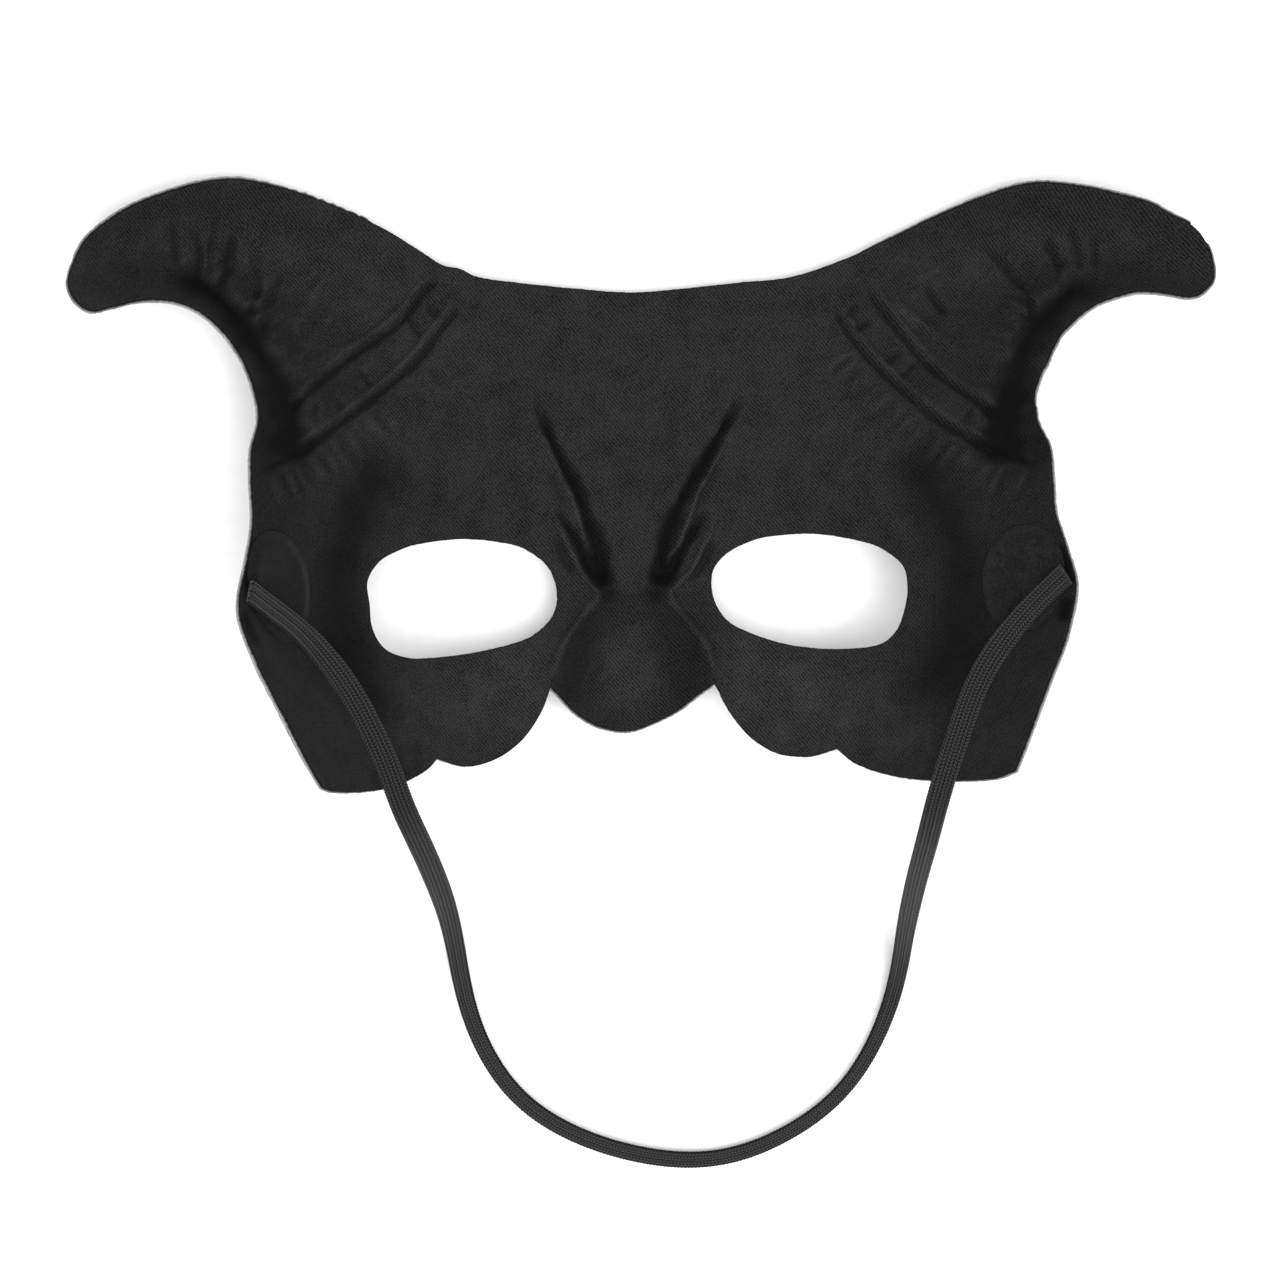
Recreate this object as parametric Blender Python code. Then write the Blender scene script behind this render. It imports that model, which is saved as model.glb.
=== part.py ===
"""A horned half mask, moulded from one sheet of cloth-faced foam, with an elastic strap on two cloth tabs.

It lies on its front, its hollow up, resting on the nose and both horns. X runs across the face, and
the mask is built facing straight down before it is tilted onto its three resting places.
"""

import math

import bmesh
import bpy
import numpy as np
from mathutils import Vector
from mathutils.geometry import delaunay_2d_cdt

# Sizes of the whole mask, in metres
HALF_BREADTH = 0.1172
HEIGHT = 0.1246
HEM_BELOW_NOSE_WING = 0.0296
SIDE_DEPTH = 0.072

# The sheet and what is glued to it
SHEET_THICKNESS = 0.002
TAB_DIAMETER = 0.022
TAB_THICKNESS = 0.001
STRAP_WIDTH = 0.005
STRAP_THICKNESS = 0.0012
CLEARANCE = 0.0003

# Nose bulb
NOSE_DEPTH = 0.0150
NOSE_HALF_WIDTH = 0.0180
NOSE_TOP_HALF_WIDTH = 0.0070
NOSE_TOP = 0.0105
NOSE_LENGTH = 0.0300
NOSE_FULLEST = 0.68

# How far the brow's middle leans back at its upper edge
BROW_SETBACK = 0.0050

# How far the soft nose and horns are pressed flat where they rest
REST_PRESS = 0.0007

# Distances between the mesh's points
PLAIN_STEP = 0.0044
FINE_STEP = 0.0022
EDGE_STEP = 0.0029
STRAP_STEP = 0.0060

# How the sheet turns back towards the ears, a row for each height: how far up the mask, half breadth
# and depth at that height as shares of the whole, and how late the turn comes
SECTIONS = (
    # up, breadth, depth, lateness
    (-0.124, 0.597, 1.000, 3.30),
    (-0.011, 0.623, 0.944, 3.30),
    (0.157, 0.683, 0.833, 3.20),
    (0.302, 0.734, 0.708, 3.10),
    (0.440, 0.728, 0.625, 2.95),
    (0.559, 0.717, 0.556, 2.80),
    (0.655, 0.717, 0.472, 2.40),
    (0.735, 0.853, 0.444, 2.00),
    (0.840, 1.024, 0.417, 1.80),
    (1.040, 1.024, 0.389, 1.80),
)

# Right half of the cut edge, from the middle of the brow round the horn to the nose, as shares of
# the half breadth and of the height; a 1 in the last column is a sharp corner
OUTLINE = (
    # across, up, corner
    (0.000, 0.824, 0),
    (0.094, 0.830, 0),
    (0.188, 0.838, 0),
    (0.281, 0.849, 0),
    (0.369, 0.876, 0),
    (0.452, 0.917, 0),
    (0.538, 0.953, 0),
    (0.625, 0.985, 0),
    (0.718, 1.000, 0),
    (0.810, 0.988, 0),
    (0.897, 0.954, 0),
    (0.970, 0.898, 0),
    (1.000, 0.829, 0),
    (0.989, 0.791, 0),
    (0.957, 0.779, 0),
    (0.895, 0.793, 0),
    (0.832, 0.791, 0),
    (0.774, 0.767, 0),
    (0.731, 0.722, 0),
    (0.695, 0.672, 0),
    (0.679, 0.613, 0),
    (0.692, 0.560, 0),
    (0.696, 0.495, 0),
    (0.696, 0.435, 0),
    (0.706, 0.375, 0),
    (0.720, 0.315, 0),
    (0.701, 0.237, 0),
    (0.666, 0.164, 0),
    (0.628, 0.091, 0),
    (0.593, 0.017, 1),
    (0.532, 0.000, 0),
    (0.470, 0.002, 0),
    (0.409, 0.016, 0),
    (0.358, 0.049, 1),
    (0.305, 0.034, 0),
    (0.252, 0.043, 0),
    (0.206, 0.073, 0),
    (0.172, 0.113, 0),
    (0.149, 0.161, 1),
    (0.107, 0.124, 0),
    (0.056, 0.092, 0),
    (0.000, 0.081, 0),
)

# Right eye hole: its size, its inner lower corner, and its edge as shares of that size
EYE_LENGTH = 0.0398
EYE_HEIGHT = 0.0243
EYE_FROM_MIDDLE = 0.0165
EYE_BELOW_WING = 0.0027
EYE_EDGE = (
    # along, up
    (1.000, 0.576),
    (0.957, 0.757),
    (0.842, 0.889),
    (0.633, 0.979),
    (0.392, 0.996),
    (0.158, 0.909),
    (0.053, 0.765),
    (0.000, 0.531),
    (0.048, 0.317),
    (0.168, 0.165),
    (0.399, 0.049),
    (0.691, 0.000),
    (0.872, 0.058),
    (0.952, 0.193),
    (0.985, 0.383),
)

# The right horn's swelling, a row for each place along it: shares of the half breadth and height,
# half width as a share of the half breadth, and relief in metres
HORN = (
    # across, up, half width, relief
    (0.400, 0.610, 0.170, 0.0000),
    (0.500, 0.720, 0.190, 0.0065),
    (0.600, 0.820, 0.180, 0.0105),
    (0.715, 0.880, 0.140, 0.0115),
    (0.828, 0.888, 0.105, 0.0095),
    (0.905, 0.872, 0.085, 0.0065),
    (0.965, 0.840, 0.060, 0.0030),
)

# Folds of the right half, each from one place to another in shares of the half breadth and height,
# with its half width and its rise towards the face in metres
FOLDS = (
    # across, up, across, up, half width, rise
    (0.158, 0.585, 0.080, 0.395, 0.0022, 0.0016),
    (0.181, 0.635, 0.048, 0.345, 0.0020, -0.0016),
    (0.124, 0.440, 0.068, 0.325, 0.0020, 0.0013),
    (0.130, 0.455, 0.052, 0.335, 0.0016, -0.0011),
    (0.632, 0.598, 0.500, 0.712, 0.0022, 0.0012),
    (0.500, 0.712, 0.430, 0.830, 0.0022, 0.0012),
    (0.685, 0.500, 0.520, 0.605, 0.0022, 0.0012),
    (0.520, 0.605, 0.410, 0.715, 0.0022, 0.0012),
    (0.410, 0.715, 0.350, 0.810, 0.0022, 0.0012),
)

# Middle of the right tab, as shares of the half breadth and height
TAB_ACROSS = 0.652
TAB_UP = 0.330

# The strap's line on the lining, from the right tab's outer edge down to the hem and from the hem
# up to the left tab's, in the same shares, with how far it is lifted by the tab under it and how
# far it turns up from the sloping side
STRAP_ON_RIGHT = (
    # across, up, lift, turn up
    (0.706, 0.322, 1.0, 0.00),
    (0.683, 0.297, 1.0, 0.00),
    (0.650, 0.261, 1.0, 0.10),
    (0.617, 0.217, 0.6, 0.25),
    (0.583, 0.168, 0.1, 0.42),
    (0.560, 0.119, 0.0, 0.50),
    (0.542, 0.066, 0.0, 0.55),
    (0.526, 0.019, 0.4, 0.60),
)
STRAP_ON_LEFT = (
    # across, up, lift, turn up
    (-0.468, 0.018, 0.5, 0.60),
    (-0.487, 0.054, 0.0, 0.55),
    (-0.515, 0.112, 0.0, 0.50),
    (-0.541, 0.157, 0.0, 0.42),
    (-0.572, 0.199, 0.1, 0.32),
    (-0.606, 0.236, 0.6, 0.20),
    (-0.637, 0.262, 1.0, 0.10),
    (-0.674, 0.283, 1.0, 0.00),
    (-0.707, 0.309, 1.0, 0.00),
)

# The strap's free line from hem to hem, first falling to the surface and then lying on it, leaning
# on its outer edge: shares of the half breadth, of the height and of the side depth, and the lean
# in degrees, below 0 where the upper side looks outwards
STRAP_FREE = (
    # across, along, above the surface, lean
    (0.494, -0.476, 0.753, 0),
    (0.487, -0.525, 0.724, 0),
    (0.488, -0.585, 0.633, 0),
    (0.490, -0.649, 0.515, -2),
    (0.498, -0.717, 0.369, -5),
    (0.507, -0.786, 0.224, -10),
    (0.514, -0.849, 0.106, -20),
    (0.517, -0.907, 0.033, -28),
    (0.501, -0.984, 0.003, -33),
    (0.469, -1.055, 0.000, -35),
    (0.424, -1.121, 0.000, -35),
    (0.366, -1.169, 0.000, -34),
    (0.298, -1.206, 0.000, -32),
    (0.229, -1.233, 0.000, -31),
    (0.142, -1.243, 0.000, -30),
    (0.055, -1.232, 0.000, -31),
    (-0.034, -1.208, 0.000, -33),
    (-0.122, -1.169, 0.000, -36),
    (-0.201, -1.110, 0.000, -41),
    (-0.242, -1.053, 0.000, -44),
    (-0.277, -0.984, 0.000, -46),
    (-0.295, -0.918, 0.008, -44),
    (-0.314, -0.824, 0.085, -36),
    (-0.330, -0.764, 0.175, -24),
    (-0.351, -0.703, 0.293, -12),
    (-0.377, -0.639, 0.411, -4),
    (-0.406, -0.574, 0.522, 0),
    (-0.430, -0.524, 0.592, 0),
    (-0.452, -0.478, 0.617, 0),
)


def clear_scene():
    for item in list(bpy.data.objects):
        bpy.data.objects.remove(item, do_unlink=True)


def material(name, color, roughness):
    made = bpy.data.materials.new(name)
    made.use_nodes = True
    shader = made.node_tree.nodes["Principled BSDF"]
    shader.inputs["Base Color"].default_value = (*color, 1.0)
    shader.inputs["Roughness"].default_value = roughness
    return made


def place(across, up):
    """A place on the mask, seen from the front, in metres from the nose wings' middle."""
    return across * HALF_BREADTH, up * HEIGHT - HEM_BELOW_NOSE_WING


def smooth(at, knots, values):
    """A smooth curve through the values at the knots."""
    knots, values = np.asarray(knots), np.asarray(values)
    slopes = np.gradient(values, knots)
    at = np.clip(at, knots[0], knots[-1])
    i = np.clip(np.searchsorted(knots, at) - 1, 0, len(knots) - 2)
    gap = knots[i + 1] - knots[i]
    t = (at - knots[i]) / gap
    return (
        values[i] * (2 * t**3 - 3 * t**2 + 1)
        + values[i + 1] * (3 * t**2 - 2 * t**3)
        + gap * slopes[i] * (t**3 - 2 * t**2 + t)
        + gap * slopes[i + 1] * (t**3 - t**2)
    )


def turned(x, y):
    """Depth of the plain sheet behind the nose wings, before the nose, horns and folds."""
    up = (y + HEM_BELOW_NOSE_WING) / HEIGHT
    knots, breadth, depth, lateness = np.array(SECTIONS).T
    edge = HALF_BREADTH * smooth(up, knots, breadth)
    share = np.abs(x) / edge
    return SIDE_DEPTH * smooth(up, knots, depth) * share ** smooth(up, knots, lateness)


def nose(x, y):
    """How far the nose bulb stands forward."""
    down = np.clip((NOSE_TOP - y) / NOSE_LENGTH, 0.0, 1.2)
    long = np.clip(1 - (1 - down / NOSE_FULLEST) ** 2, 0.0, 1.0) ** 1.3
    widening = np.clip(down / NOSE_FULLEST, 0.0, 1.0) ** 0.8
    half = NOSE_TOP_HALF_WIDTH + (NOSE_HALF_WIDTH - NOSE_TOP_HALF_WIDTH) * widening
    wide = np.clip(1 - (np.abs(x) / half) ** 2.4, 0.0, 1.0) ** 1.4
    return NOSE_DEPTH * long * wide


def nearest(x, y, start, end):
    """Distance from a straight stretch, and how far along it the nearest place is."""
    run = np.subtract(end, start)
    along = ((x - start[0]) * run[0] + (y - start[1]) * run[1]) / run.dot(run)
    along = np.clip(along, 0.0, 1.0)
    return np.hypot(x - start[0] - along * run[0], y - start[1] - along * run[1]), along


def horn(x, y):
    """How far the horn swells forward."""
    best, swell = np.full(np.shape(x), np.inf), np.zeros(np.shape(x))
    for first, second in zip(HORN, HORN[1:]):
        away, along = nearest(x, y, place(*first[:2]), place(*second[:2]))
        half = HALF_BREADTH * (first[2] + (second[2] - first[2]) * along)
        relief = first[3] + (second[3] - first[3]) * along
        share = away / half
        rise = relief * np.clip(1 - share**2, 0.0, 1.0) ** 1.3
        swell = np.where(share < best, rise, swell)
        best = np.minimum(best, share)
    return swell


def brow(x, y):
    """How far the brow's middle leans back."""
    up = (y + HEM_BELOW_NOSE_WING) / HEIGHT
    share = np.clip((up - 0.5) / 0.32, 0.0, 1.3)
    return BROW_SETBACK * share**2 * np.exp(-((x / (0.36 * HALF_BREADTH)) ** 2))


def folds(x, y):
    """How far the brow's wrinkles and the horns' bands rise towards the face."""
    rise = np.zeros(np.shape(x))
    for across, up, across_to, up_to, half, height in FOLDS:
        away, along = nearest(x, y, place(across, up), place(across_to, up_to))
        rise = rise + height * np.exp(-((away / half) ** 2)) * np.minimum(1, 0.4 + 3 * along)
    return rise


def lining(x, y):
    """Height of the sheet's inner face above the nose wings."""
    side = np.abs(x)
    return turned(x, y) + brow(x, y) - nose(side, y) - horn(side, y) + folds(side, y)


def facing(x, y):
    """Direction in which the inner face looks."""
    step = 1e-5
    slope_x = (lining(x + step, y) - lining(x - step, y)) / (2 * step)
    slope_y = (lining(x, y + step) - lining(x, y - step)) / (2 * step)
    way = np.stack([-slope_x, -slope_y, np.ones(np.shape(x))], axis=-1)
    return way / np.linalg.norm(way, axis=-1, keepdims=True)


def over_lining(x, y, lift):
    """Points at a distance above the inner face, or under it where lift is negative."""
    points = np.stack([x, y, lining(x, y)], axis=-1)
    return points + lift * facing(x, y)


def unrolled_row(y):
    """Distances from the middle, straight across and along the turned sheet, at one height."""
    across = np.linspace(0.0, 1.1 * HALF_BREADTH, 241)
    deep = turned(across, np.full_like(across, y))
    return across, np.concatenate([[0.0], np.cumsum(np.hypot(np.diff(across), np.diff(deep)))])


def unroll(x, y):
    across, along = unrolled_row(y)
    return math.copysign(np.interp(abs(x), across, along), x)


def roll_back(flat, y):
    across, along = unrolled_row(y)
    return np.sign(flat) * np.interp(np.abs(flat), along, across)


def trace(points, corners, step):
    """Points at even steps along a smooth closed curve that keeps its corners sharp."""
    points = [np.array(p) for p in points]
    count, traced = len(points), []
    for i in range(count):
        start, end = points[i], points[(i + 1) % count]
        leaving = end - start if corners[i] else (end - points[i - 1]) / 2
        arriving = end - start if corners[(i + 1) % count] else (points[(i + 2) % count] - start) / 2
        pieces = max(1, round(math.dist(start, end) / step))
        for k in range(pieces):
            t = k / pieces
            traced.append(
                start * (2 * t**3 - 3 * t**2 + 1)
                + end * (3 * t**2 - 2 * t**3)
                + leaving * (t**3 - 2 * t**2 + t)
                + arriving * (t**3 - t**2)
            )
    return [tuple(p) for p in traced]


def cut_edge(step):
    """The mask's whole outline, mirrored from its right half."""
    right = [place(across, up) for across, up, _ in OUTLINE]
    left = [(-x, y) for x, y in right[-2:0:-1]]
    corners = [corner for _, _, corner in OUTLINE]
    return trace(right + left, corners + corners[-2:0:-1], step)


def eye_edge(side, step):
    rows = [
        (side * (EYE_FROM_MIDDLE + along * EYE_LENGTH), up * EYE_HEIGHT - EYE_BELOW_WING)
        for along, up in EYE_EDGE
    ]
    return trace(rows, [0] * len(rows), step)


def inside(points, loop):
    """Which points lie within a closed loop."""
    x, y = points[:, :1], points[:, 1:]
    a = np.array(loop)
    b = np.roll(a, -1, axis=0)
    spans = (a[:, 1] > y) != (b[:, 1] > y)
    rise = np.where(b[:, 1] == a[:, 1], 1.0, b[:, 1] - a[:, 1])
    left_of = x < a[:, 0] + (y - a[:, 1]) / rise * (b[:, 0] - a[:, 0])
    return (spans & left_of).sum(axis=1) % 2 == 1


def needs_fine(flat, y):
    """Where the nose and the folds ask for closer points."""
    x = np.abs(roll_back(flat, y))
    if abs(x) < 1.1 * NOSE_HALF_WIDTH and y < NOSE_TOP + PLAIN_STEP:
        return True
    return any(
        nearest(x, y, place(*row[:2]), place(*row[2:4]))[0] < row[4] + FINE_STEP for row in FOLDS
    )


def grid_points(loops, plain, fine):
    """A triangular grid over the unrolled sheet, closer where the shape needs it."""
    edge = np.array([p for loop in loops for p in loop])
    low, high = edge.min(axis=0), edge.max(axis=0)
    stride = round(plain / fine)
    rows = math.ceil((high[1] - low[1]) / (fine * math.sqrt(0.75)))
    columns = math.ceil(max(-low[0], high[0]) / fine)
    points = []
    for j in range(rows + 1):
        y = low[1] + j * fine * math.sqrt(0.75)
        for i in range(-columns, columns + 1):
            flat = (i + 0.5 * (j % (2 * stride)) % stride) * fine
            coarse = j % stride == 0 and i % stride == 0
            if coarse or needs_fine(flat, y):
                points.append((flat, y, plain if coarse else fine))
    points = np.array(points)
    keep = inside(points[:, :2], loops[0])
    for hole in loops[1:]:
        keep &= ~inside(points[:, :2], hole)
    points = points[keep]
    away = np.linalg.norm(points[:, None, :2] - edge[None], axis=2).min(axis=1)
    return [tuple(p[:2]) for p in points[away > 0.55 * fine]]


def sheet_mesh(loops, plain, fine, under, over):
    """A thin closed body between two distances from the inner face, cut to the loops."""
    flat_loops = [[(unroll(x, y), y) for x, y in loop] for loop in loops]
    points, edges = [], []
    for loop in flat_loops:
        first = len(points)
        points += loop
        edges += [(first + i, first + (i + 1) % len(loop)) for i in range(len(loop))]
    points += grid_points(flat_loops, plain, fine)
    verts, _, faces, *_ = delaunay_2d_cdt([Vector(p) for p in points], edges, [], 0, 1e-7)
    flat = np.array([tuple(v) for v in verts])
    faces = np.array([tuple(f) for f in faces])
    middle = flat[faces].mean(axis=1)
    keep = inside(middle, flat_loops[0])
    for hole in flat_loops[1:]:
        keep &= ~inside(middle, hole)
    faces = faces[keep]
    x = np.array([float(roll_back(s, y)) for s, y in flat])
    y = flat[:, 1]
    body = bmesh.new()
    upper = [body.verts.new(p) for p in over_lining(x, y, over)]
    lower = [body.verts.new(p) for p in over_lining(x, y, under)]
    sides = {}
    for a, b, c in faces:
        body.faces.new((upper[a], upper[b], upper[c]))
        body.faces.new((lower[c], lower[b], lower[a]))
        for edge in ((a, b), (b, c), (c, a)):
            sides[edge] = True
    for a, b in sides:
        if (b, a) not in sides:
            body.faces.new((upper[b], upper[a], lower[a], lower[b]))
    loose = [v for v in body.verts if not v.link_faces]
    bmesh.ops.delete(body, geom=loose, context="VERTS")
    bmesh.ops.recalc_face_normals(body, faces=body.faces)
    return body


def rest_tilt(points):
    """The tilt, in radians, at which the nose and the horns reach down equally far."""
    at_nose = (np.abs(points[:, 0]) < NOSE_HALF_WIDTH) & (points[:, 1] < NOSE_TOP)
    low, high = 0.0, math.radians(45)
    for _ in range(40):
        tilt = (low + high) / 2
        height = points[:, 2] * math.cos(tilt) - points[:, 1] * math.sin(tilt)
        if height[at_nose].min() < height[~at_nose].min():
            low = tilt
        else:
            high = tilt
    return tilt


def tilted(points, tilt):
    x, y, z = np.moveaxis(np.asarray(points, float), -1, 0)
    return np.stack(
        [x, y * math.cos(tilt) + z * math.sin(tilt), z * math.cos(tilt) - y * math.sin(tilt)],
        axis=-1,
    )


class Seat:
    """Lays points that were made in the mask's own frame onto the surface."""

    def __init__(self, shell):
        points = np.array([tuple(v.co) for v in shell.verts])
        self.tilt = rest_tilt(points)
        laid = tilted(points, self.tilt)
        middle = (laid[:, 1].min() + laid[:, 1].max()) / 2
        self.shift = np.array([0.0, -middle, -laid[:, 2].min() - REST_PRESS])

    def lay(self, points):
        return tilted(points, self.tilt) + self.shift

    def lay_body(self, body):
        for vert in body.verts:
            vert.co = self.lay(tuple(vert.co))
            vert.co.z = max(vert.co.z, 0.0)


def strap_line(seat):
    """Places along the strap, each with the way that its flat upper side looks."""
    places, ways = [], []

    def on_lining(rows):
        for across, up, lift, turn_up in rows:
            x, y = place(across, up)
            way = tilted(facing(x, y), seat.tilt)
            eased = (1 - turn_up) * way + turn_up * np.array([0, 0, 1])
            eased /= np.linalg.norm(eased)
            over = 2 * CLEARANCE + STRAP_THICKNESS / 2 + lift * (CLEARANCE + TAB_THICKNESS)
            over += np.linalg.norm(np.cross(way, eased)) * STRAP_WIDTH / 2
            places.append(seat.lay(over_lining(x, y, over)))
            ways.append(eased)

    on_lining(STRAP_ON_RIGHT)
    for across, along, above, lean in STRAP_FREE:
        angle = math.radians(lean)
        lying = abs(math.sin(angle)) * STRAP_WIDTH / 2 + math.cos(angle) * STRAP_THICKNESS / 2
        height = above * SIDE_DEPTH + lying + CLEARANCE / 2
        places.append(np.array([across * HALF_BREADTH, along * HEIGHT, height]))
        ways.append(None)
    on_lining(STRAP_ON_LEFT)
    for i, (_, _, _, lean) in enumerate(STRAP_FREE, len(STRAP_ON_RIGHT)):
        ahead = places[i + 1] - places[i - 1]
        inward = np.cross(ahead, (0, 0, 1))
        inward /= np.linalg.norm(inward)
        angle = math.radians(lean)
        ways[i] = math.cos(angle) * np.array([0, 0, 1]) + math.sin(angle) * inward
    return np.array(places), np.array(ways)


def evenly(places, ways, step):
    """Both lists read again at even steps along the smooth curve through the places."""
    knots = np.concatenate([[0], np.cumsum(np.linalg.norm(np.diff(places, axis=0), axis=1))])
    count = math.ceil(knots[-1] / step)
    at = np.linspace(0, knots[-1], count + 1)
    line = np.stack([smooth(at, knots, places[:, k]) for k in range(3)], axis=1)
    way = np.stack([smooth(at, knots, ways[:, k]) for k in range(3)], axis=1)
    ahead = np.gradient(line, axis=0)
    ahead /= np.linalg.norm(ahead, axis=1, keepdims=True)
    way -= ahead * (way * ahead).sum(axis=1, keepdims=True)
    way /= np.linalg.norm(way, axis=1, keepdims=True)
    return line, way, np.cross(way, ahead)


def strap_body(line, way, across):
    """A flat band with rounded edges along the line."""
    round_off = STRAP_THICKNESS / 3
    wide, thick = STRAP_WIDTH / 2, STRAP_THICKNESS / 2
    section = [
        (wide, thick - round_off), (wide - round_off, thick),
        (round_off - wide, thick), (-wide, thick - round_off),
        (-wide, round_off - thick), (round_off - wide, -thick),
        (wide - round_off, -thick), (wide, round_off - thick),
    ]
    body = bmesh.new()
    rings = []
    for at, up, side in zip(line, way, across):
        rings.append([body.verts.new(at + side * a + up * b) for a, b in section])
    for ring in rings:
        for a, b in zip(ring, ring[1:] + ring[:1]):
            body.edges.new((a, b))
    for first, second in zip(rings, rings[1:]):
        both = [body.edges.get((a, b)) for ring in (first, second)
                for a, b in zip(ring, ring[1:] + ring[:1])]
        bmesh.ops.bridge_loops(body, edges=both)
    body.faces.new(rings[0])
    body.faces.new(rings[-1])
    bmesh.ops.recalc_face_normals(body, faces=body.faces)
    return body


def finish(body, name, surface, collection):
    mesh = bpy.data.meshes.new(name)
    body.to_mesh(mesh)
    body.free()
    mesh.materials.append(surface)
    for face in mesh.polygons:
        face.use_smooth = True
    made = bpy.data.objects.new(name, mesh)
    collection.objects.link(made)
    return made


def tab_edge(side, step):
    """A round tab's edge, as it lies on the turned sheet."""
    x, y = place(TAB_ACROSS, TAB_UP)
    middle = unroll(x, y)
    count = round(math.pi * TAB_DIAMETER / step)
    edge = []
    for i in range(count):
        angle = math.tau * i / count
        up = y + TAB_DIAMETER / 2 * math.sin(angle)
        flat = middle + TAB_DIAMETER / 2 * math.cos(angle)
        edge.append((side * float(roll_back(flat, up)), up))
    return edge


def main():
    clear_scene()
    mask = bpy.data.collections.new("costume_mask")
    bpy.context.scene.collection.children.link(mask)

    cloth = material("mask_cloth", (0.026, 0.026, 0.027), 0.85)
    tab_cloth = material("tab_cloth", (0.022, 0.022, 0.023), 0.9)
    elastic = material("braided_elastic", (0.045, 0.045, 0.046), 0.8)

    loops = [cut_edge(EDGE_STEP), eye_edge(1, EDGE_STEP), eye_edge(-1, EDGE_STEP)]
    shell = sheet_mesh(loops, PLAIN_STEP, FINE_STEP, -SHEET_THICKNESS, 0.0)
    seat = Seat(shell)
    seat.lay_body(shell)
    finish(shell, "mask_shell", cloth, mask)

    for side, name in ((-1, "left_strap_tab"), (1, "right_strap_tab")):
        tab = sheet_mesh([tab_edge(side, EDGE_STEP)], PLAIN_STEP, PLAIN_STEP,
                         CLEARANCE, CLEARANCE + TAB_THICKNESS)
        seat.lay_body(tab)
        finish(tab, name, tab_cloth, mask)

    strap = strap_body(*evenly(*strap_line(seat), STRAP_STEP))
    finish(strap, "elastic_strap", elastic, mask)


main()
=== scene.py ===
"""Looks of a horned half mask, moulded from cloth-faced foam sheet, with a braided elastic strap.

The mask lies on its front with its hollow up. Its shapes are worked out in the mask's own frame, X across
the face and Y up it, in metres, and are then laid on the surface with the same tilt as the solids.
"""

import math

import bmesh
import bpy
import numpy as np
from mathutils import Matrix, Vector, noise
from mathutils.kdtree import KDTree


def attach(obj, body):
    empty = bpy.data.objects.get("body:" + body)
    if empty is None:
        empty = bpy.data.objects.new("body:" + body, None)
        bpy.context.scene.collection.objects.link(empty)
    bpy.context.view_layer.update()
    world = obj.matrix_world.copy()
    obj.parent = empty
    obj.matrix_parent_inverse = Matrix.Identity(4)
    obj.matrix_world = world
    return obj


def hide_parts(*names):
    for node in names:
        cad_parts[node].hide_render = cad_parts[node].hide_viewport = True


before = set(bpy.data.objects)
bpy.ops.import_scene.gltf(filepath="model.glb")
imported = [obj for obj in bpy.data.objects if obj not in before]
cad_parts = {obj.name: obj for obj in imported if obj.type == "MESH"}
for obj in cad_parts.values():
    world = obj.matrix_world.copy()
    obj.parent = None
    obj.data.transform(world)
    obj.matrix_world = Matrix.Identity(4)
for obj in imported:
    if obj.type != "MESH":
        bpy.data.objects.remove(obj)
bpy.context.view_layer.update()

MM = 0.001

# Sizes of the solids, in metres
HALF_BREADTH = 0.1172
HEIGHT = 0.1246
HEM_BELOW_NOSE_WING = 0.0296
SIDE_DEPTH = 0.072
SHEET_THICKNESS = 0.002
TAB_DIAMETER = 0.022
TAB_THICKNESS = 0.001
STRAP_WIDTH = 0.005
STRAP_THICKNESS = 0.0012
CLEARANCE = 0.0003
NOSE_DEPTH = 0.0150
NOSE_HALF_WIDTH = 0.0180
NOSE_TOP_HALF_WIDTH = 0.0070
NOSE_TOP = 0.0105
NOSE_LENGTH = 0.0300
NOSE_FULLEST = 0.68
BROW_SETBACK = 0.0050

# How the mask lies: its tilt on the nose and horns, and where its frame's middle comes to
TILT = math.radians(10.762209)
SEAT = np.array([0.0, -0.0360236, 0.0143260])

# Where the photograph was taken from: distance, turn and roll of the view over the mask's frame
VIEW_DISTANCE = 0.850
VIEW_TURN = math.radians(7.67)
VIEW_ROLL = math.radians(0.70)
VIEW_SIDE = -0.00132
VIEW_WIDTH = 1280 * 0.00021
SENSOR_WIDTH = 36.0

# One large softbox over the mask, and a little light from all round
SOFTBOX_AT = (-0.07, 0.06, 1.50)
SOFTBOX_SIZE = 1.5
SOFTBOX_POWER = 51.0
ROOM_LIGHT = 0.10

# Distances between the points of the fine meshes
SHEET_STEP = 1.0 * MM
TAB_STEP = 0.8 * MM
STRAP_STEP = 0.375 * MM
OUTLINE_STEP = 0.25 * MM
TAB_POINTS = 120

# The die pinches the sheet at its edge: how thick it is there, and how far in it is full again
EDGE_THICKNESS = 0.9 * MM
EDGE_PINCH = 2.6 * MM
TAB_EDGE_THICKNESS = 0.22 * MM
TAB_EDGE_PINCH = 2.6 * MM

# How far the cut edge's threads stand out, their spacing, and how far the front cloth's lip stands out
# where the sheet is steep
FRAYING = 0.15 * MM
FRAY_SPACING = 0.7 * MM
LIP = 0.28 * MM

# The elastic's ribs, its stitches' spacing, how far its ends run on, and how often its line is evened
STRAP_RIBS = 6
STRAP_STITCH = 0.75 * MM
STRAP_TUCK = 2.0 * MM
STRAP_EVENING = 600

# The twill's ribs, the Wave texture's period at scale 1, how far the painted shade darkens the cloth, and the
# softness of the front's folds
TWILL_RIB_MM = 0.62
WAVE_PERIOD = 0.314
PAINTED_SHADING_FALL = 0.78
FRONT_SOFTENING = 2.0 * MM

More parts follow.
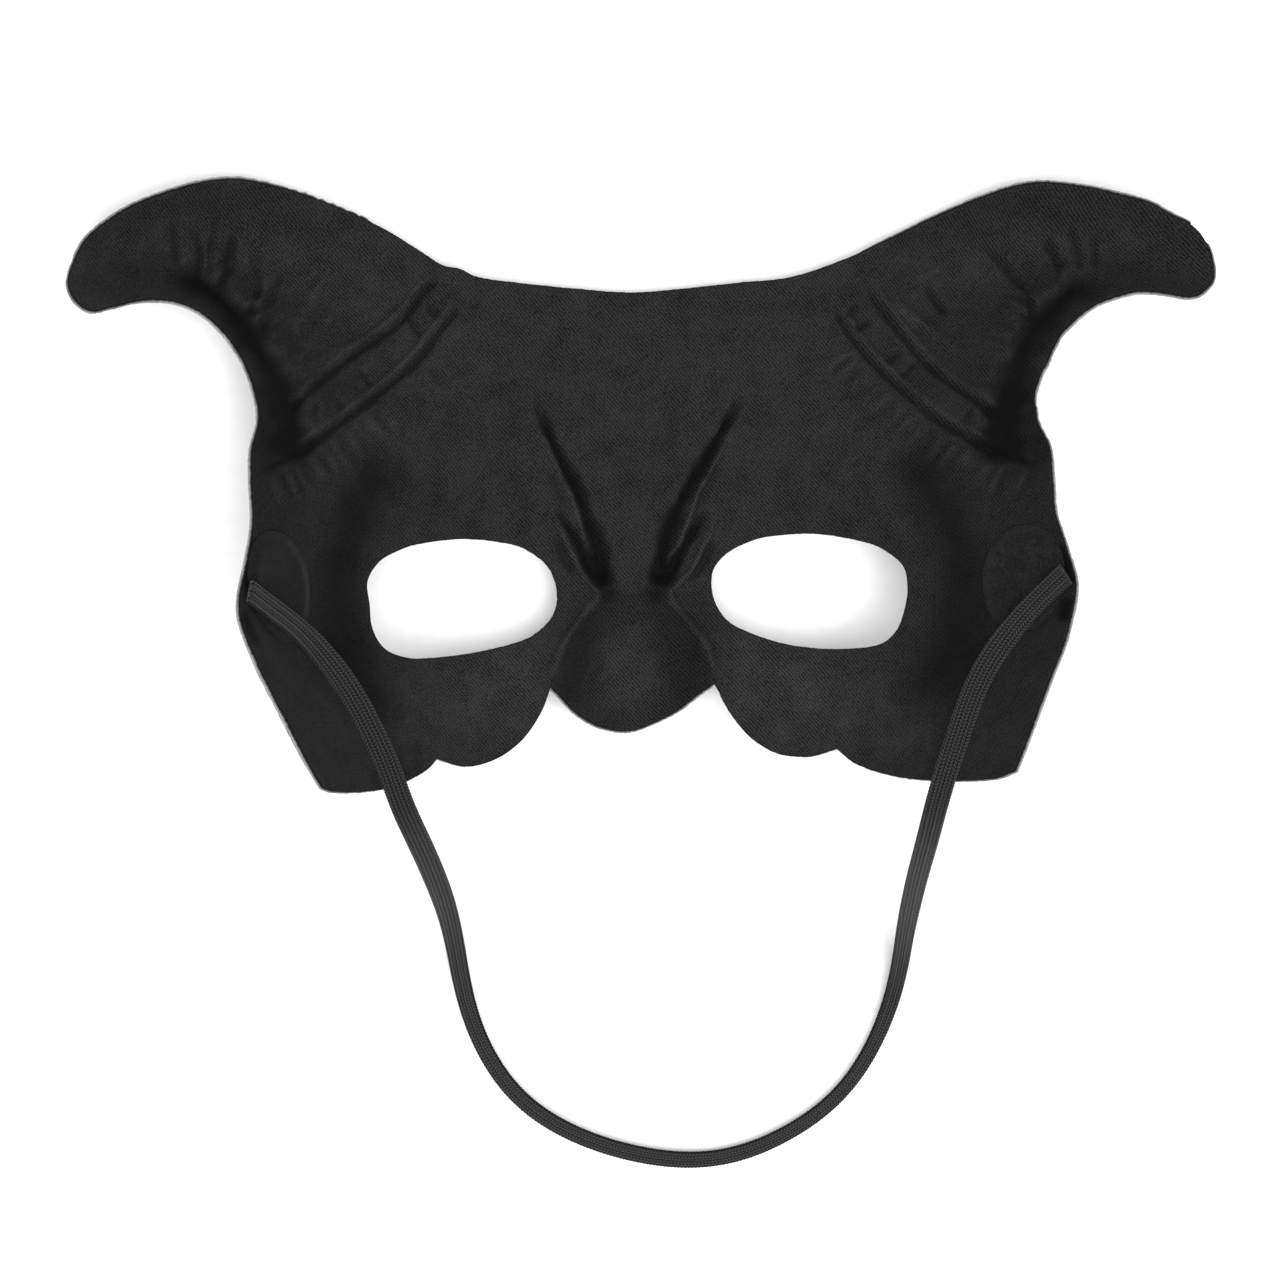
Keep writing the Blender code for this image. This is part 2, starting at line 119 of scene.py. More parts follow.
# The sheet's turn towards the ears: how far up the mask, then shares of the half breadth and depth
SECTIONS = (
    # up, breadth, depth, lateness
    (-0.124, 0.597, 1.000, 3.30),
    (-0.011, 0.623, 0.944, 3.30),
    (0.157, 0.683, 0.833, 3.20),
    (0.302, 0.734, 0.708, 3.10),
    (0.440, 0.728, 0.625, 2.95),
    (0.559, 0.717, 0.556, 2.80),
    (0.655, 0.717, 0.472, 2.40),
    (0.735, 0.853, 0.444, 2.00),
    (0.840, 1.024, 0.417, 1.80),
    (1.040, 1.024, 0.389, 1.80),
)

# The right horn's swelling: shares of the half breadth and height, half width and relief
HORN = (
    # across, up, half width, relief
    (0.400, 0.610, 0.170, 0.0000),
    (0.500, 0.720, 0.190, 0.0065),
    (0.600, 0.820, 0.180, 0.0105),
    (0.715, 0.880, 0.140, 0.0115),
    (0.828, 0.888, 0.105, 0.0095),
    (0.905, 0.872, 0.085, 0.0065),
    (0.965, 0.840, 0.060, 0.0030),
)

# The cut edge in millimetres, across and up, from the middle of the brow round each horn down to the nose
OUTLINE_RIGHT = (
    (0, 72.4), (11, 73.2), (22, 74.4), (33, 75.5), (43.5, 78.8), (54, 83.3), (64, 88), (74, 92),
    (84, 94.5), (94.5, 93.1), (105, 90.1), (110.5, 87), (115.3, 83.9), (117.8, 78.8), (117.9, 73.7),
    (114.9, 70.3), (112, 69.7), (109, 70.5), (105.2, 71.3), (101.2, 71), (94, 68.4), (88, 63.4),
    (83.5, 57.3), (79.7, 50.5), (79, 44.5), (80.8, 38.5), (81.1, 32), (81.3, 24.6), (82.8, 17.1),
    (83.7, 9.5), (81, 0.2), (77, -8.5), (73, -17.8), (69.2, -26.8), (65.9, -28.5), (59, -29.2),
    (51.4, -28.6), (44.7, -26.2), (41.2, -23), (35.7, -24.8), (29.5, -24.1), (24.1, -20.5), (20, -15.2),
    (17, -9.3), (14.5, -11.4), (10.5, -14.9), (5.5, -17.6), (0, -19.2),
)
OUTLINE_LEFT = (
    (-11, 73.1), (-22, 74.2), (-32, 75.5), (-36.2, 77.3), (-40, 78.1), (-45, 81.2), (-52.4, 85.6),
    (-62.6, 90.1), (-73.3, 93.4), (-84, 94.8), (-94.6, 92.3), (-104.4, 88.2), (-112.5, 82), (-116.2, 74),
    (-115.4, 69.4), (-112.3, 66.8), (-108, 67.8), (-101, 69.7), (-93.5, 69.2), (-86.8, 65), (-82.1, 58.4),
    (-79.6, 50.7), (-79, 44.5), (-80.6, 38.5), (-80.8, 32), (-80.6, 24.5), (-81.9, 16.9), (-83.6, 9.8),
    (-83.6, 4.5), (-80.5, -4.2), (-76, -13.4), (-71.5, -22.4), (-68.4, -27.8), (-65.3, -28.9),
    (-58.4, -29.4), (-51.4, -28.7), (-45.2, -26.3), (-42.3, -23.8), (-35.7, -25.7), (-29.4, -24.3),
    (-24, -20.6), (-20, -15.2), (-17.6, -9.4), (-14.7, -11.8), (-10.9, -15.3), (-5.9, -18.2),
)
SHARP_CORNERS = {
    (69.2, -26.8), (41.2, -23), (17, -9.3), (-68.4, -27.8), (-42.3, -23.8), (-17.6, -9.4),
}

# The eye holes' edges in millimetres
EYE_RIGHT = (
    # across, up
    (56.0, 10.0), (55.3, 14.7), (51.9, 18.1), (47.6, 20.1), (38.3, 21.9), (28.9, 21.5), (24.3, 20.3),
    (20.0, 18.1), (17.0, 14.6), (16.7, 9.9), (18.4, 5.6), (21.9, 2.4), (30.7, -1.0), (40.1, -2.4),
    (49.3, -1.9), (53.3, 0.9), (55.2, 5.3),
)
EYE_LEFT = (
    # across, up
    (-56.6, 12.7), (-54.1, 16.7), (-50.0, 19.0), (-45.2, 20.5), (-35.5, 21.5), (-25.8, 20.4), (-21.3, 18.5),
    (-17.6, 15.2), (-16.0, 10.4), (-16.7, 5.7), (-20.0, 2.0), (-24.4, -0.2), (-34.0, -2.3), (-43.7, -3.3),
    (-48.6, -3.1), (-53.2, -1.2), (-55.8, 2.9), (-56.3, 7.8),
)

# Folds and creases in millimetres: half width at the start and the end, rise towards the face, how much
# painted shade lies along it (painted light on ridges, below 0), then the places of each line that is like
# that
FOLDS = (
    # the brow's two long grooves and the sharp ridges beside them
    (0.7, 1.7, -4.2, 1.0, ((-20.6, 51.2), (-17.4, 43.8), (-14.7, 37.7), (-11.4, 31.8), (-9.1, 25.1),
     (-6.8, 18.6), (-5.2, 11)),
     ((23.7, 51.8), (19.9, 44.8), (15.8, 37.9), (11.7, 31.2), (8.7, 24.9), (6.2, 17.6), (4.7, 10.9))),
    (0.6, 0.7, 1.1, -0.5, ((-18.9, 44.2), (-16.2, 37.9), (-13.8, 32.9), (-11.6, 26.3), (-9.4, 20)),
     ((21.8, 44.4), (18, 38.1), (14.5, 32), (11.9, 25.1), (9.4, 18.4))),
    (0.6, 0.7, -0.6, 0.4, ((-17.6, 36.8), (-15.7, 32), (-14, 27.4)),
     ((19.2, 37.2), (16.3, 32.2), (13.8, 27.2))),
    # the second grooves and their ridges, which run on as the nose's creases
    (0.6, 1.5, -3.2, 1.0, ((-16.3, 28.7), (-14.9, 26.2), (-12.4, 22.3), (-9.4, 16.9), (-6.1, 11)),
     ((15.9, 28.2), (14.6, 25.5), (12.5, 22.1), (9.8, 17.3), (6.2, 11.3))),
    (0.7, 0.9, 1.2, -0.5, ((-17.4, 28.9), (-15.9, 24.9), (-13.4, 19.2), (-10.4, 13.7), (-7.3, 9.3),
     (-11.3, 4.5), (-15.4, -1.7), (-17.4, -8.4)),
     ((17.9, 28), (16.9, 23.8), (14.9, 19.4), (12.3, 14.6), (7.5, 9.2), (11, 4.4), (15.4, -1.5),
      (17.1, -8.4))),
    (0.8, 0.8, -1.2, 0.6, ((-16.4, 22.8), (-14.9, 18.7), (-11.9, 12.7)),
     ((17.2, 21.7), (15.6, 17.3), (12.1, 11.8))),
    # the horns' bands: a groove under each line and the ridge above it
    (0.8, 0.55, -1.4, 0.8, ((-76.4, 42.6), (-70.5, 48.9), (-65.9, 53.3), (-56.7, 60.6), (-47, 67.8),
     (-43.5, 72.8), (-40.4, 75.4)),
     ((76.1, 42.4), (68.2, 49.8), (62.9, 55.5), (57, 64), (53.7, 68.5), (49.9, 73))),
    (0.8, 0.6, 0.8, -0.3, ((-75.6, 45.8), (-71.9, 50.1), (-67.1, 54.6), (-57.9, 62), (-48.4, 69.1),
     (-44.9, 73.9), (-41.8, 76.6)),
     ((75.4, 45.6), (69.6, 50.9), (64.3, 56.6), (58.5, 65), (55.2, 69.5), (51.3, 74.2))),
    (0.8, 0.55, -1.4, 0.8, ((-80.6, 33.7), (-75, 36.3), (-70.1, 38.9), (-61, 45.4), (-51.8, 52.6),
     (-44.5, 59), (-39.2, 66), (-35.8, 69.7)),
     ((80.6, 33.4), (74.3, 37), (68.8, 40), (61.5, 45.6), (55.7, 52), (48.5, 60.3), (45, 65.4),
      (42.9, 69.2))),
    (0.7, 0.6, 0.9, -0.4, ((-75.8, 38), (-71, 40.6), (-62, 46.9), (-52.9, 54), (-45.8, 60.4),
     (-40.7, 67.3), (-37, 71)),
     ((75.2, 38.7), (69.9, 41.6), (62.8, 46.9), (57.1, 53.2), (49.9, 61.6), (46.5, 66.6), (44.4, 70.4))),
    # short cross creases between the bands
    (0.7, 0.7, -1.2, 0.6, ((-47.2, 68.4), (-44.4, 63.1)),
     ((-43.2, 70.2), (-40, 66.6))),
    (0.7, 0.7, -1.1, 0.5, ((-57.3, 56.8), (-54.8, 52.3))),
    (0.8, 0.8, -0.9, 0.35, ((-62, 50.5), (-61.4, 46.8)),
     ((-66.6, 49.4), (-67.6, 45.8))),
    (0.7, 0.7, -1.2, 0.6, ((44.7, 67), (48.5, 70)),
     ((46.5, 64.2), (51.6, 67))),
    (0.7, 0.7, -1.1, 0.5, ((55.6, 53.6), (60.2, 58.4))),
    (0.8, 0.8, -1.1, 0.45, ((53, 57.2), (57, 60.4))),
    (0.8, 0.8, -0.9, 0.35, ((66, 43.9), (69, 47.4))),
    # the channel along each horn's inner curve
    (3.0, 4.2, -3.6, 1.0, ((-98.1, 76.9), (-90.8, 74.1), (-86.5, 71.4), (-83.1, 67.3), (-80, 62.3),
     (-77.4, 57.3), (-75.2, 52.3), (-73.3, 47.1), (-72.1, 41.5), (-73.5, 36))),
    (2.6, 3.6, -3.4, 0.9, ((99.8, 74.8), (96.8, 73.8), (90.8, 71), (85.9, 66.3), (81.9, 61.3),
     (79, 56.3), (76.4, 51), (74.2, 46.2), (72.6, 40.5), (74, 35))),
    # creases across the bend
    (0.7, 1.1, -1.8, 0.75, ((-82.6, 86), (-83.3, 81.5), (-84.6, 76), (-86.6, 73))),
    (0.7, 1.0, -1.2, 0.5, ((-95.4, 87), (-94.7, 81.5), (-94.6, 77.5))),
    (0.8, 0.8, -1.1, 0.45, ((-91.2, 86.5), (-89.4, 80), (-90.2, 75.5))),
    (0.6, 0.9, -1.1, 0.45, ((-85.6, 89.4), (-87.2, 82.4), (-88.6, 76))),
    (0.8, 0.8, -1.2, 0.6, ((-78.2, 80.5), (-77.5, 74.2), (-80.4, 67))),
    (0.8, 1.0, -1.0, 0.4, ((-71.6, 79), (-75, 71.4), (-77.6, 63))),
    (0.7, 1.1, -1.7, 0.7, ((87.6, 84.7), (90.4, 78.2), (90.2, 74))),
    (0.6, 0.9, -1.1, 0.45, ((92.3, 86.4), (94.3, 79.6), (93.8, 75.6))),
    (0.8, 0.8, -1.1, 0.45, ((96.8, 85.4), (97.6, 80.2), (97, 76.2))),
    (0.8, 1.0, -1.5, 0.6, ((74.3, 83.5), (79.8, 78.5), (83.9, 70.9), (83.6, 66.5))),
    (0.8, 0.8, -1.6, 0.7, ((63.4, 74.1), (67.4, 67.7))),
    # long soft streaks up the horns
    (1.3, 1.3, 0.8, -0.2, ((-60.3, 72.3), (-63.9, 66.8), (-71, 57))),
    (1.2, 1.2, 0.7, -0.2, ((-56.7, 63.4), (-68.9, 55.8)),
     ((-62.9, 78.4), (-71, 64))),
    (1.1, 1.1, 0.9, -0.25, ((60.9, 74.6), (67.5, 78.8)),
     ((55, 71.9), (63.8, 63.9))),
    (1.1, 1.1, 0.7, -0.2, ((58.2, 70.6), (68.8, 59.2))),
)

# Wide soft bands of painted shade: half width, how dark, then each band's places
PAINTED_SHADING_BANDS = (
    (5.2, 0.78, ((-54.5, 33.9), (-59.4, 25.2), (-62.3, 16), (-63.1, 7.2), (-60.8, -1.3), (-56, -11.6)),
     ((59, 34.7), (63.2, 25.1), (65.6, 15.7), (65.5, 6.4), (62.6, -3.9), (58.6, -10.5))),
    (9.0, 0.24, ((-78, 42), (-78, 30), (-80.5, 12))),
    (9.0, 0.26, ((78, 42), (78, 30), (80.5, 4))),
    (2.3, 0.7, ((-8.6, 15.6), (-6.8, 12), (-5.2, 9.8)),
     ((8.2, 15.6), (6.5, 12), (4.9, 9.8))),
    (6.0, 0.30, ((-9, 5), (-13, -1), (-14, -9))),
    (6.0, 0.38, ((9, 5), (13, -1), (14, -9))),
    (5.0, 0.40, ((-77.5, 45), (-77, 37)),
     ((78, 45), (77.5, 37))),
    # the cheeks and the nose's middle, drawn paler with painted light
    (10.0, -0.38, ((-58, -18), (-40, -13), (-26, -9))),
    (10.0, -0.40, ((58, -20), (40, -14), (26, -9))),
    (6.0, -0.30, ((0, -13), (0, 1))),
    # painted shadow in the narrow gaps under the tabs' outer edges
    (0.9, 0.9, ((-80.9, 20.1), (-82, 16.7), (-82.5, 12.3)),
     ((-83, 5.6), (-82.2, 3.3), (-81.1, 0.9)),
     ((82.1, 17.6), (82.9, 14.5), (83.2, 11)),
     ((82.2, 6.6), (81.7, 5), (81.1, 3.4))),
)

# Rows of small soft pleats beside a line: its places, the pleats' spacing, where the row starts and
# ends across the line and along it, and the pleats' height, all in millimetres
PLEATS = (
    (((-80.6, 33.7), (-70.1, 38.9), (-61.0, 45.4), (-51.8, 52.6), (-44.5, 59.0), (-37.0, 68.4)),
     3.0, -1.0, -9.0, 0.0, 50.0, 0.75),
    (((80.6, 33.4), (68.8, 40.0), (61.5, 45.6), (55.7, 52.0), (48.5, 60.3), (43.5, 68.3)),
     3.1, 1.0, 8.5, 0.0, 48.0, 0.75),
    (((-98.1, 76.9), (-86.5, 71.4), (-80.0, 62.3), (-75.4, 52.3)), 3.4, 2.0, 9.0, 2.0, 30.0, 0.60),
    (((99.8, 74.8), (90.8, 71.0), (81.9, 61.3), (76.6, 51.0)), 3.2, -2.0, -9.0, 2.0, 30.0, 0.60),
    (((-93.0, 92.0), (-75.0, 92.5), (-52.0, 82.0), (-40.0, 77.0)), 2.7, 0.6, 4.5, 2.0, 50.0, 0.25),
    (((93.0, 91.0), (75.0, 91.5), (52.0, 82.0), (40.0, 77.5)), 2.9, -0.6, -5.0, 2.0, 50.0, 0.25),
)

# Middle of each tab and the strap's line over the lining, as shares of the half breadth and height
TAB_ACROSS = 0.652
TAB_UP = 0.330
STRAP_ON_RIGHT = (
    # across, up, lift, turn up
    (0.706, 0.322, 1.0, 0.00),
    (0.683, 0.297, 1.0, 0.00),
    (0.650, 0.261, 1.0, 0.10),
    (0.617, 0.217, 0.6, 0.25),
    (0.583, 0.168, 0.1, 0.75),
    (0.560, 0.119, 0.0, 0.50),
    (0.542, 0.066, 0.0, 0.55),
    (0.526, 0.019, 0.4, 0.60),
)
STRAP_ON_LEFT = (
    # across, up, lift, turn up
    (-0.468, 0.018, 0.5, 0.60),
    (-0.487, 0.054, 0.0, 0.55),
    (-0.515, 0.112, 0.0, 0.50),
    (-0.541, 0.157, 0.0, 0.75),
    (-0.572, 0.199, 0.1, 0.32),
    (-0.606, 0.236, 0.6, 0.20),
    (-0.637, 0.262, 1.0, 0.10),
    (-0.674, 0.283, 1.0, 0.00),
    (-0.707, 0.309, 1.0, 0.00),
)
STRAP_FREE = (
    # across, along, above the surface, lean
    (0.494, -0.476, 0.753, 0),
    (0.487, -0.525, 0.724, 0),
    (0.488, -0.585, 0.633, 0),
    (0.490, -0.649, 0.515, -2),
    (0.498, -0.717, 0.369, -5),
    (0.507, -0.786, 0.224, -10),
    (0.514, -0.849, 0.106, -20),
    (0.517, -0.907, 0.033, -28),
    (0.501, -0.984, 0.003, -33),
    (0.469, -1.055, 0.000, -35),
    (0.424, -1.121, 0.000, -35),
    (0.366, -1.169, 0.000, -34),
    (0.298, -1.206, 0.000, -32),
    (0.229, -1.233, 0.000, -31),
    (0.142, -1.243, 0.000, -30),
    (0.055, -1.232, 0.000, -31),
    (-0.034, -1.208, 0.000, -33),
    (-0.122, -1.169, 0.000, -36),
    (-0.201, -1.110, 0.000, -41),
    (-0.242, -1.053, 0.000, -44),
    (-0.277, -0.984, 0.000, -46),
    (-0.295, -0.918, 0.008, -44),
    (-0.314, -0.824, 0.085, -36),
    (-0.330, -0.764, 0.175, -24),
    (-0.351, -0.703, 0.293, -12),
    (-0.377, -0.639, 0.411, -4),
    (-0.406, -0.574, 0.522, 0),
    (-0.430, -0.524, 0.592, 0),
    (-0.452, -0.478, 0.617, 0),
)


# ---- shape of the moulded sheet

def place(across, up):
    """A place on the mask, in metres from the nose wings' middle."""
    return across * HALF_BREADTH, up * HEIGHT - HEM_BELOW_NOSE_WING


def smooth(at, knots, values):
    """A smooth curve through the values at the knots."""
    knots, values = np.asarray(knots), np.asarray(values)
    slopes = np.gradient(values, knots)
    at = np.clip(at, knots[0], knots[-1])
    i = np.clip(np.searchsorted(knots, at) - 1, 0, len(knots) - 2)
    gap = knots[i + 1] - knots[i]
    t = (at - knots[i]) / gap
    return (
        values[i] * (2 * t**3 - 3 * t**2 + 1)
        + values[i + 1] * (3 * t**2 - 2 * t**3)
        + gap * slopes[i] * (t**3 - 2 * t**2 + t)
        + gap * slopes[i + 1] * (t**3 - t**2)
    )


def turned(x, y):
    """Depth of the plain sheet behind the nose wings."""
    up = (y + HEM_BELOW_NOSE_WING) / HEIGHT
    knots, breadth, depth, lateness = np.array(SECTIONS).T
    edge = HALF_BREADTH * smooth(up, knots, breadth)
    share = np.abs(x) / edge
    return SIDE_DEPTH * smooth(up, knots, depth) * share ** smooth(up, knots, lateness)


def nose(x, y, crisp):
    """How far the nose bulb stands forward; crisp walls start at a sharp line."""
    down = np.clip((NOSE_TOP - y) / NOSE_LENGTH, 0.0, 1.2)
    long = np.clip(1 - (1 - down / NOSE_FULLEST) ** 2, 0.0, 1.0) ** (1.3 - 0.3 * crisp)
    widening = np.clip(down / NOSE_FULLEST, 0.0, 1.0) ** 0.8
    half = NOSE_TOP_HALF_WIDTH + (NOSE_HALF_WIDTH - NOSE_TOP_HALF_WIDTH) * widening
    wide = np.clip(1 - (np.abs(x) / half) ** 2.4, 0.0, 1.0) ** (1.4 - 0.35 * crisp)
    return NOSE_DEPTH * long * wide


def nearest(x, y, start, end):
    """Signed distance from a straight stretch, and how far along it the nearest place is."""
    run = np.subtract(end, start)
    along = ((x - start[0]) * run[0] + (y - start[1]) * run[1]) / run.dot(run)
    along = np.clip(along, 0.0, 1.0)
    away = np.hypot(x - start[0] - along * run[0], y - start[1] - along * run[1])
    side = np.where(run[0] * (y - start[1]) - run[1] * (x - start[0]) < 0, -1.0, 1.0)
    return away * side, along


def horn(x, y):
    """How far the horn swells forward."""
    best, swell = np.full(np.shape(x), np.inf), np.zeros(np.shape(x))
    for first, second in zip(HORN, HORN[1:]):
        away, along = nearest(x, y, place(*first[:2]), place(*second[:2]))
        half = HALF_BREADTH * (first[2] + (second[2] - first[2]) * along)
        relief = first[3] + (second[3] - first[3]) * along
        share = np.abs(away) / half
        rise = relief * np.clip(1 - share**2, 0.0, 1.0) ** 1.3
        swell = np.where(share < best, rise, swell)
        best = np.minimum(best, share)
    return swell


def brow(x, y):
    """How far the brow's middle leans back."""
    up = (y + HEM_BELOW_NOSE_WING) / HEIGHT
    share = np.clip((up - 0.5) / 0.32, 0.0, 1.3)
    return BROW_SETBACK * share**2 * np.exp(-((x / (0.36 * HALF_BREADTH)) ** 2))


def rounded(places):
    """The places with more between them, so that the line through them has no corners."""
    places = np.array(places) * MM
    if len(places) < 3:
        return places
    knots = np.concatenate([[0], np.cumsum(np.hypot(*np.diff(places, axis=0).T))])
    at = np.linspace(0, knots[-1], 3 * len(places))
    return np.stack([smooth(at, knots, places[:, k]) for k in range(2)], axis=1)


def beside(x, y, places):
    """Signed distance from a line, how far along it, and its whole length."""
    line = rounded(places)
    lengths = np.hypot(*np.diff(line, axis=0).T)
    best, run = np.full(np.shape(x), np.inf), np.zeros(np.shape(x))
    for start, end, length, before in zip(line, line[1:], lengths, np.cumsum(lengths) - lengths):
        away, along = nearest(x, y, start, end)
        closer = np.abs(away) < np.abs(best)
        best = np.where(closer, away, best)
        run = np.where(closer, before + along * length, run)
    return best, run, lengths.sum()


def eased(share):
    share = np.clip(share, 0.0, 1.0)
    return share * share * (3 - 2 * share)


def fades(at, low, high, ease):
    """1 between low and high, easing to 0 outside them."""
    return eased(np.minimum(at - low, high - at) / ease)


def each_line(table):
    """Every line of a table, each with the numbers of its row."""
    for row in table:
        numbers = [part for part in row if not isinstance(part, tuple)]
        for places in row[len(numbers):]:
            yield *numbers, places


def folds(x, y, soften):
    """Rise of all the folds, and their painted shade (painted light on ridges, below 0); soften gives how far
    the outer side rounds them off, in metres."""
    rise, nap = np.zeros(np.shape(x)), np.zeros(np.shape(x))
    for first, last, height, dark, places in each_line(FOLDS):
        away, run, whole = beside(x, y, places)
        uneven = 1 + 0.22 * np.sin(run / (2.3 * MM) + 9 * whole / MM)
        uneven += 0.12 * np.sin(run / (0.9 * MM))
        half = (first + (last - first) * run / whole) * uneven * MM
        wide = np.hypot(half, soften)
        share = np.clip(np.abs(away) / (1.6 * wide), 0.0, 1.0)
        ends = eased(run / min(0.3 * whole, 8 * MM))
        ends *= eased((whole - run) / min(0.3 * whole, 3 * MM))
        rise += height * MM * (half / wide) ** 0.5 * (1 - share**2) ** 2 * ends
        nap += dark * np.clip(1 - (1.25 * share) ** 2, 0.0, 1.0) ** 1.5 * ends
    return rise, nap


def painted_shading_bands(x, y):
    # painted shade from the wide bands, and painted light where a band is below 0
    nap = np.zeros(np.shape(x))
    for half, dark, places in each_line(PAINTED_SHADING_BANDS):
        away, _, _ = beside(x, y, places)
        share = np.clip(np.abs(away) / (1.6 * half * MM), 0.0, 1.0)
        nap += dark * (1 - share**2) ** 2
    return nap


def pleats(x, y):
    rise = np.zeros(np.shape(x))
    for places, spacing, near, far, start, end, height in PLEATS:
        away, run, _ = beside(x, y, places)
        low, high = sorted((near * MM, far * MM))
        where = fades(away, low, high, 2.5 * MM) * fades(run, start * MM, end * MM, 4 * MM)
        turns = math.tau * run / (spacing * MM)
        wander = turns + 1.1 * np.sin(turns / 2.7) + 0.5 * np.sin(turns / 1.3 + away / (2 * MM))
        rise += height * MM * where * np.sin(wander) * (0.75 + 0.25 * np.sin(turns / 4.3))
    return rise


def moulded(x, y, crisp):
    """Height of the sheet with its nose and horns, before any fold."""
    return turned(x, y) + brow(x, y) - nose(x, y, crisp) - horn(np.abs(x), y)


def lining(x, y):
    """Height of the sheet's inner face, with all its folds."""
    return moulded(x, y, 1.0) + folds(x, y, 0.0)[0] + pleats(x, y)


def outer(x, y):
    """The same with the folds rounded off, as they show through the foam on the front."""
    return moulded(x, y, 0.3) + folds(x, y, FRONT_SOFTENING)[0]


def plain(x, y):
    """The same with no folds, for what lies over them."""
    return moulded(x, y, 0.0)


def over(face, x, y, lift):
    """Points at a distance over a face, along the way in which it looks."""
    step = 1e-5
    slope_x = (face(x + step, y) - face(x - step, y)) / (2 * step)
    slope_y = (face(x, y + step) - face(x, y - step)) / (2 * step)
    way = np.stack([-slope_x, -slope_y, np.ones(np.shape(x))], axis=-1)
    way /= np.linalg.norm(way, axis=-1, keepdims=True)
    return np.stack([x, y, face(x, y)], axis=-1) + np.asarray(lift)[..., None] * way, way


def tilted(points):
    x, y, z = np.moveaxis(np.asarray(points, float), -1, 0)
    return np.stack(
        [x, y * math.cos(TILT) + z * math.sin(TILT), z * math.cos(TILT) - y * math.sin(TILT)],
        axis=-1,
    )


def lay(points):
    """From the mask's own frame to where it lies."""
    return tilted(points) + SEAT


# ---- the unrolled net that the sheet and the tabs are cut from

def unrolled_rows():
    """How far along the turned sheet each breadth is, for a range of heights."""
    across = np.linspace(0.0, 1.12 * HALF_BREADTH, 241)
    heights = np.linspace(-0.035, 0.100, 136)
    rows = []
    for y in heights:
        deep = turned(across, np.full_like(across, y))
        rows.append(np.concatenate([[0.0], np.cumsum(np.hypot(np.diff(across), np.diff(deep)))]))
    return across, heights, np.array(rows)


ACROSS, HEIGHTS, ROWS = unrolled_rows()


def row_at(y):
    i = np.clip((y - HEIGHTS[0]) / (HEIGHTS[1] - HEIGHTS[0]), 0, len(HEIGHTS) - 1.001)
    low = int(i)
    return ROWS[low] + (i - low) * (ROWS[low + 1] - ROWS[low])


def unroll(x, y):
    return math.copysign(np.interp(abs(x), ACROSS, row_at(y)), x)


def roll_back(flat, y):
    return math.copysign(np.interp(abs(flat), row_at(y), ACROSS), flat)


def trace(points, corners):
    """Points at even steps along a smooth closed curve, and which of them are sharp corners."""
    points = [np.array(p, float) for p in points]
    count, traced, sharp = len(points), [], []
    for i in range(count):
        start, end = points[i], points[(i + 1) % count]
        leaving = end - start if corners[i] else (end - points[i - 1]) / 2
        arriving = end - start if corners[(i + 1) % count] else (points[(i + 2) % count] - start) / 2
        pieces = max(1, round(math.dist(start, end) / OUTLINE_STEP))
        for k in range(pieces):
            t = k / pieces
            sharp.append(bool(corners[i]) and k == 0)
            traced.append(
                start * (2 * t**3 - 3 * t**2 + 1)
                + end * (3 * t**2 - 2 * t**3)
                + leaving * (t**3 - 2 * t**2 + t)
                + arriving * (t**3 - t**2)
            )
    return np.array(traced), np.array(sharp)


def inside(points, loop):
    """Which points lie within a closed loop."""
    a, b = loop, np.roll(loop, -1, axis=0)
    rise = np.where(b[:, 1] == a[:, 1], 1.0, b[:, 1] - a[:, 1])
    found = []
    for part in np.array_split(points, max(1, len(points) // 4000)):
        x, y = part[:, :1], part[:, 1:2]
        spans = (a[:, 1] > y) != (b[:, 1] > y)
        left_of = x < a[:, 0] + (y - a[:, 1]) / rise * (b[:, 0] - a[:, 0])
        found.append((spans & left_of).sum(axis=1) % 2 == 1)
    return np.concatenate(found)


def border_rings(body):
    """The body's open edges as rings of vertices in order."""
    open_edges = {e for e in body.edges if e.is_boundary}
    rings = []
    while open_edges:
        edge = open_edges.pop()
        ring = [edge.verts[0], edge.verts[1]]
        while True:
            onward = next((e for e in ring[-1].link_edges if e in open_edges), None)
            if onward is None:
                break
            open_edges.remove(onward)
            ring.append(onward.other_vert(ring[-1]))
        rings.append(ring[:-1] if ring[-1] is ring[0] else ring)
    return rings


def drop_loose_corners(body):
    """Takes off faces that hang on by one edge or one corner."""
    while True:
        bad = {f for f in body.faces if sum(e.is_boundary for e in f.edges) > 2}
        for vert in body.verts:
            if sum(e.is_boundary for e in vert.link_edges) > 2:
                bad.add(vert.link_faces[0])
        if not bad:
            return
        bmesh.ops.delete(body, geom=list(bad), context="FACES")


